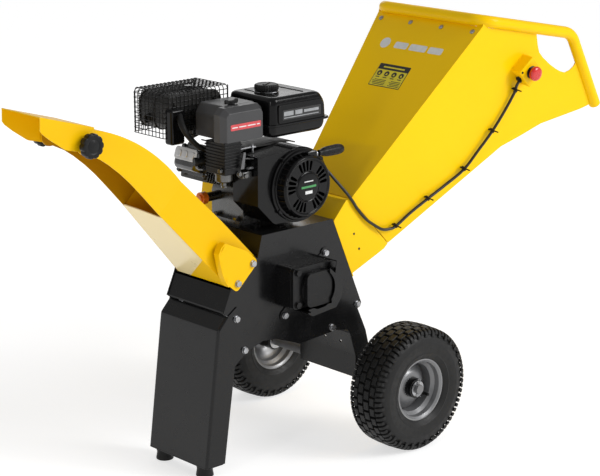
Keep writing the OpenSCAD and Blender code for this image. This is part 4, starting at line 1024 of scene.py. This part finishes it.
tip = [(283, 0), (367, 0), (410, -1), (448, -4), (490, -10.4), (520, -17.5)] + circle(577, -19, 25, 20,
                                                                                      -150, 130)
tip += [(606, -8), (600, 12)] + [(x, arc_z(x)) for x in np.linspace(589, 286, 34)]
ears = {
    -1: fillet([(-477, 603), (-409, 573), (-370, 538), (-442, 472), (-466, 491), (-485, 525), (-497, 578)],
               (6, 12, 14, 10, 8, 10, 10)),
    1: fillet([(-436, 588), (-409, 573), (-370, 538), (-442, 472), (-452, 480)], (8, 12, 14, 10, 6)),
}
bm = bmesh.new()
for s in (-1, 1):
    taper = CHUTE @ shift(0, s * 98, 0) @ spin(math.radians(-s * 5.4))
    add(bm, upright(prism([(0, 0), (287, 0), (290, 99.7), (132, 106), (-34, 107)], 0, 3, 0.7), taper, -s))
    add(bm, upright(prism(tip, 68, 71, 0.7), CHUTE, s))
    add(bm, plate(ears[s], s * 114 - 1.8, s * 114 + 1.8))
fold = [(-465.1, 491.5), (-476, 508), (-484.1, 525.4), (-490.6, 551), (-495.9, 577.8), (-488, 592),
        (-476.2, 602.4), (-479.3, 604.9), (-492, 594.4), (-500.2, 578.7), (-494.6, 550), (-487.8, 523.9),
        (-479.4, 506), (-468.6, 489.5)]
add(bm, plate(fold, -115.6, -96))
lean = shift(-34, 0, 107) @ Matrix.Rotation(math.radians(1.3), 4, "Y")
add(bm, prism([(0, -100.6), (321, -70.6), (321, 70.6), (0, 100.6)], -3, 0, 0.6), CHUTE @ lean)
add(bm, upright(prism(arc_band(286, 590, 588, 476.6, 473.6), -70.8, 70.8, 0.5), CHUTE))
# the chute sheet takes the darker copy of the yellow: painted shade
piece("chute_sheet", bm, "yellow_low", "discharge_chute", angle=30)
# thin sheets in dark amber over the chute's inner faces: painted shade for the shadow inside the chute
bm = upright(prism(arc_band(290, 600, 600, 473.3, 472.8), -67.4, 67.4), CHUTE)
add(bm, upright(prism([(x, z - 0.2) for x, z in tip], 67.3, 67.9), CHUTE))
piece("chute_inner_face", bm, "amber_painted_shade")
# the chute's lower plate in cream: painted reflection of the bright floor on the yellow sheet; the corner
# below keeps the chute yellow where the reflection stops
deck = [(0, -97.6), (268, -72.6), (273, -66), (274, -50), (282, 0), (287, 70.8), (0, 97.6)]
piece("chute_lower_plate", place(prism(deck, 0, 3, 0.6), CHUTE), "cream_painted_reflection")
corner = prism([(0.5, -97), (108, -87), (0.5, 46)], -0.35, 0.1)
piece("chute_lower_corner", place(corner, CHUTE), "yellow_low")

# ---------------------------------------------------------------- deflector
lower_edge = fillet([(-985, 949), (-979, 941), (-958, 924), (-917, 896), (-876, 886)], (2, 3, 10, 30, 0))[7:]
side_shape = [(-835, 938), (-985, 982), (-986, 950)] + lower_edge + circle(*PIVOT, 22, 30, -128, 162)
roof = [(-835, 938), (-985, 982), (-985.7, 979.6), (-835.7, 935.6)]
bm = plate(side_shape, -75.7, -73.2, 0.6)
add(bm, plate(side_shape, 73.2, 75.7, 0.6))
add(bm, plate(roof, -75.5, 75.5, 0.6))
piece("deflector_hood", bm, "yellow_low", "deflector", "deflector", angle=30)

# ---------------------------------------------------------------- leg
def leg_level(z, left, right, r=7, n=6):
    """Level of the leg: a U of 3 mm sheet open to the right."""
    def half_u(sheet):
        inside = r - sheet
        turns = [math.pi / 2 * k / n for k in range(1, n)]
        out = [(right, -PLATE_Y + sheet), (left + r, -PLATE_Y + sheet)]
        out += [(left + r - inside * math.sin(w), -PLATE_Y + r - inside * math.cos(w)) for w in turns]
        out += [(left + sheet, -PLATE_Y + r)]
        return out + [(x, -y) for x, y in reversed(out)]

    return [(x, y, z) for x, y in half_u(0) + half_u(3)[::-1]]


levels = [(30.5, -548.7, -487), (33, -548.4, -487), (100, -539.9, -477.3), (170, -531, -467.2),
          (233, -523, -458), (262, -519.4, -453.5), (279, -517.2, -451), (286, -516.3, -443.6),
          (292, -515.6, -436), (300, -514.6, -422.7), (307, -513.6, -411), (330, -510.7, -414),
          (355, -507.6, -417), (378, -504.6, -421.9), (383, -503.6, -423), (388, -499.6, -424.1),
          (402, -486.4, -427), (414, -475, -432)]
bm = loft([leg_level(*level) for level in levels])
bm.normal_update()  # the rounding below goes by the angles between faces
for near, far in ((-PLATE_Y, -112), (112, PLATE_Y)):
    add(bm, plate([(-474.6, 413), (-432, 413), (-436, 424), (-443, 434)], near, far, 0.6))
foot_plate = prism(rounded(-549, -PLATE_Y, -489, PLATE_Y, 7), 29, 32.4, 1.0, 3)
add(bm, foot_plate, FROM_AXLE)
round_edges(bm, 0.6, 2, 80)
piece("leg_fold", bm, "black", "support_leg", angle=24)
bm = bmesh.new()
PAD = [(0, 0), (21.4, 0), (22.4, 1), (22.5, 3), (21, 12), (20, 20), (21.6, 26), (22, 28), (21.6, 29), (0, 29)]
for y in (-80, 80):
    foot = lathe(PAD, 56)
    add(foot, lathe([(0, 28), (3.9, 28), (3.9, 38), (3.2, 39), (0, 39)], 20))
    add(foot, prism(circle(0, 0, 7.5, 6), 32.4, 37.4))
    add(bm, foot, spot(-525, y, 0))
piece("feet_rubber", bm, "rubber", "rubber_feet", angle=36)

# ---------------------------------------------------------------- stop switch
OUT = PANEL @ shift(607, 0, -182) @ STAND
bm = prism(rounded(-30, -32, 30, 32, 5), 0.1, 36)
round_edges(bm, 3, 4, 60, lambda e: all(v.co.z > 0.035 for v in e.verts))
add(bm, prism(rounded(-31.4, -33.4, 31.4, 33.4, 5), 0.05, 2.2, 0.5))
piece("switch_box", place(bm, OUT), "yellow", "estop_box", angle=34)
bm = lathe([(8.2, 35.6), (17, 35.6), (17.6, 36.2), (17.4, 38), (15, 39.6), (12, 40.2), (11.6, 40.5),
            (8.2, 40.5)], 64, closed=True)
for p in ((-23, 25), (23, -25)):
    add(bm, lathe([(0, 35.8), (3.4, 35.8), (3.2, 37.2), (0, 37.6)], 20), shift(*p, 0))
piece("switch_collar", place(bm, OUT), "plastic", angle=36)
bm = lathe([(0, 24), (7.8, 24), (7.8, 47), (17.6, 47), (19.4, 47.8), (20, 49.6), (20, 53), (19.2, 56),
            (16.4, 58.6), (11, 59.8), (5, 60), (0, 59.9)], 72)
piece("stop_mushroom", place(bm, OUT), "red", "estop_button", "stop_button", angle=36)

# ---------------------------------------------------------------- stop cable and its ties
ROUTE = ((492, -210, 900), (489, -203, 885), (486, -198, 865), (456, -189, 815), (419, -181, 766),
         (376, -171, 718), (331, -161, 671), (274, -149, 636), (213, -140, 605), (159, -130, 575),
         (110, -122, 544), (88, -120, 540), (64, -117, 543), (38, -115, 558), (10, -113, 578),
         (-22, -111, 612), (-40, -111, 636), (-56, -104, 660), (-74, -86, 690), (-92, -71, 718),
         (-110, -62, 740), (-124, -58, 750))
line = [P(*p) for p in smooth(ROUTE, 9)]
at_panel = [PANEL.inverted() @ p / MM for p in line]
cable = piece("stop_cable", tube(line, 4, 18), "cable", "estop_cable", angle=60)


def cable_tie(at):
    """A strap round the cable with its lock and tail; at is a point of the cable, in the panel's mm."""
    b, c = at.y, at.z
    ring = []
    for r, order in ((4.6, 1), (6.0, -1)):
        turns = [math.radians(-90 + 15 * k) for k in range(13)]
        hoop = [(b - (r + 0.2) * math.cos(w), c + (r + 0.2) * math.sin(w)) for w in turns]
        ring += ([(0.5, c - r)] + hoop + [(0.5, c + r)])[::order]
    tie = bmesh.new()
    rows = [[tie.verts.new(Vector((at.x + a, y, z)) * MM) for y, z in ring] for a in (-2.4, 2.4)]
    bridge(tie, rows)
    n = len(ring)
    for row, flip in zip(rows, (1, -1)):
        for k in range(n // 2 - 1):
            tie.faces.new((row[k], row[k + 1], row[n - 2 - k], row[n - 1 - k])[::flip])
    add(tie, box(at.x - 3.6, b - 5, c + 5.2, at.x + 3.6, b + 3, c + 11, 0.9, 3))
    add(tie, box(at.x - 1.8, b - 30, c + 7.4, at.x + 1.8, b - 4, c + 8.5, 0.3))
    return place(tie, PANEL)


for x in (547, 423, 293, 160, 43):
    nearest = min(at_panel, key=lambda p: abs(p.x - x) + (50 if p.y > -3 else 0))
    piece("cable_tie_%d" % x, cable_tie(nearest), "plastic", "cable_clips" if x == 547 else ())
bm = lathe([(0, -6), (5.4, -6), (6, -5), (6, 2), (8.6, 3), (8.6, 9), (7.6, 10), (0, 10)], 28)
piece("cable_gland", place(bm, basis((1, 0, 0), (0.15, 0.4, 0.9), line[0])), "plastic")

# two holes in the throat's near side, as dark plugs flush with the sheet: painted shade for the dark inside
# of the holes
bm = bmesh.new()
for x, z in ((-28, 545), (-9, 501)):
    add(bm, plate(circle(x, z, 3.4, 24), -105.7, -104.8, 0.2))
piece("throat_holes_painted_shade", bm, "plastic")

# ---------------------------------------------------------------- plain marks and label, without words
LEAN = SLOPE + BACK_LEAN
BACK = basis((math.cos(LEAN), 0, math.sin(LEAN)), (-math.sin(LEAN), 0, math.cos(LEAN)),
             P(HOPPER_FOOT[0], 0, HOPPER_FOOT[1]))


def on_back(outline, lift0=0.3, lift1=0.55):
    """A flat piece on the outer face of the back panel: outline in slope and Y, mm."""
    return place(prism(outline, lift0, lift1, 0.05), BACK)


bm = on_back(circle(480, 101, 17, 40), 0.0, 0.3)
for y0, y1 in ((-112, -62), (-54, 8), (16, 64)):
    add(bm, on_back(rounded(468, y0, 489, y1, 5), 0.0, 0.3))
piece("plain_mark", bm, "label_white")
piece("label_ground", on_back(rounded(342, -42, 415, 72.4, 3), 0.0, 0.35), "label_dark")
bm = on_back(rounded(344, -40, 396, 70.4, 1.5))
add(bm, on_back(rounded(402.5, -24, 407, 54, 1), 0.3, 0.6))
marks = bmesh.new()
for k in range(4):
    y = -25 + k * 27
    add(marks, on_back(circle(384, y, 8.5, 24), 0.5, 0.75))
    add(marks, on_back(rounded(370, y - 7, 372.6, y + 7, 0.8), 0.5, 0.75))
    add(bm, on_back(fillet([(380, y - 4), (380, y + 4), (388, y)], 1), 0.7, 0.95))
for k in range(4):
    z = 347.5 + k * 4.8
    add(marks, on_back(rounded(z, -36, z + 1.8, 4 - 5 * (k % 2), 0.6), 0.5, 0.75))
    add(marks, on_back(rounded(z, 18, z + 1.8, 60 + 3 * (k % 3), 0.6), 0.5, 0.75))
piece("label_pictures", bm, "label_yellow")
piece("label_marks", marks, "label_dark")


# ---------------------------------------------------------------- stage
floor_paint = bpy.data.materials.new("pale_floor")
floor_paint.use_nodes = True
for key, value in (("Base Color", (0.6, 0.6, 0.6, 1)), ("Emission Color", (1, 1, 1, 1)),
                   ("Emission Strength", 0.62), ("Roughness", 0.75), ("Specular IOR Level", 0.2)):
    floor_paint.node_tree.nodes["Principled BSDF"].inputs[key].default_value = value
floor_mesh = bpy.data.meshes.new("floor")
floor_mesh.from_pydata([(-30, -30, 0), (30, -30, 0), (30, 30, 0), (-30, 30, 0)], [], [(0, 1, 2, 3)])
floor_mesh.materials.append(floor_paint)
floor = bpy.data.objects.new("floor", floor_mesh)
bpy.context.scene.collection.objects.link(floor)

world = bpy.data.worlds.new("studio")
bpy.context.scene.world = world
world.use_nodes = True
world.node_tree.nodes["Background"].inputs["Color"].default_value = (1, 1, 1, 1)
world.node_tree.nodes["Background"].inputs["Strength"].default_value = 0.38


def light(name, kind, direction, energy):
    """A light that shines in a direction."""
    data = bpy.data.lights.new(name, kind)
    data.energy = energy
    obj = bpy.data.objects.new(name, data)
    bpy.context.scene.collection.objects.link(obj)
    obj.rotation_euler = direction.to_track_quat("-Z", "Y").to_euler()
    return obj


light("soft_sun", "SUN", Vector((-0.42, 0.74, -0.53)), 1.45).data.angle = math.radians(36)
for name, at, target, size, energy in (
    ("key", (2.0, -3.4, 2.4), (0.3, 0, 0.7), (0.9, 1.7), 48),
    ("left_strip", (-4.3, -1.1, 1.9), (0, 0, 0.6), (0.5, 1.9), 22),
    ("back_panel", (3.3, 3.8, 2.6), (0, 0, 0.8), (3.6, 1.5), 24),
):
    lamp = light(name, "AREA", Vector(target) - Vector(at), energy)
    lamp.location = at
    lamp.data.shape = "RECTANGLE"
    lamp.data.size, lamp.data.size_y = size
bpy.context.scene.view_settings.view_transform = "Standard"
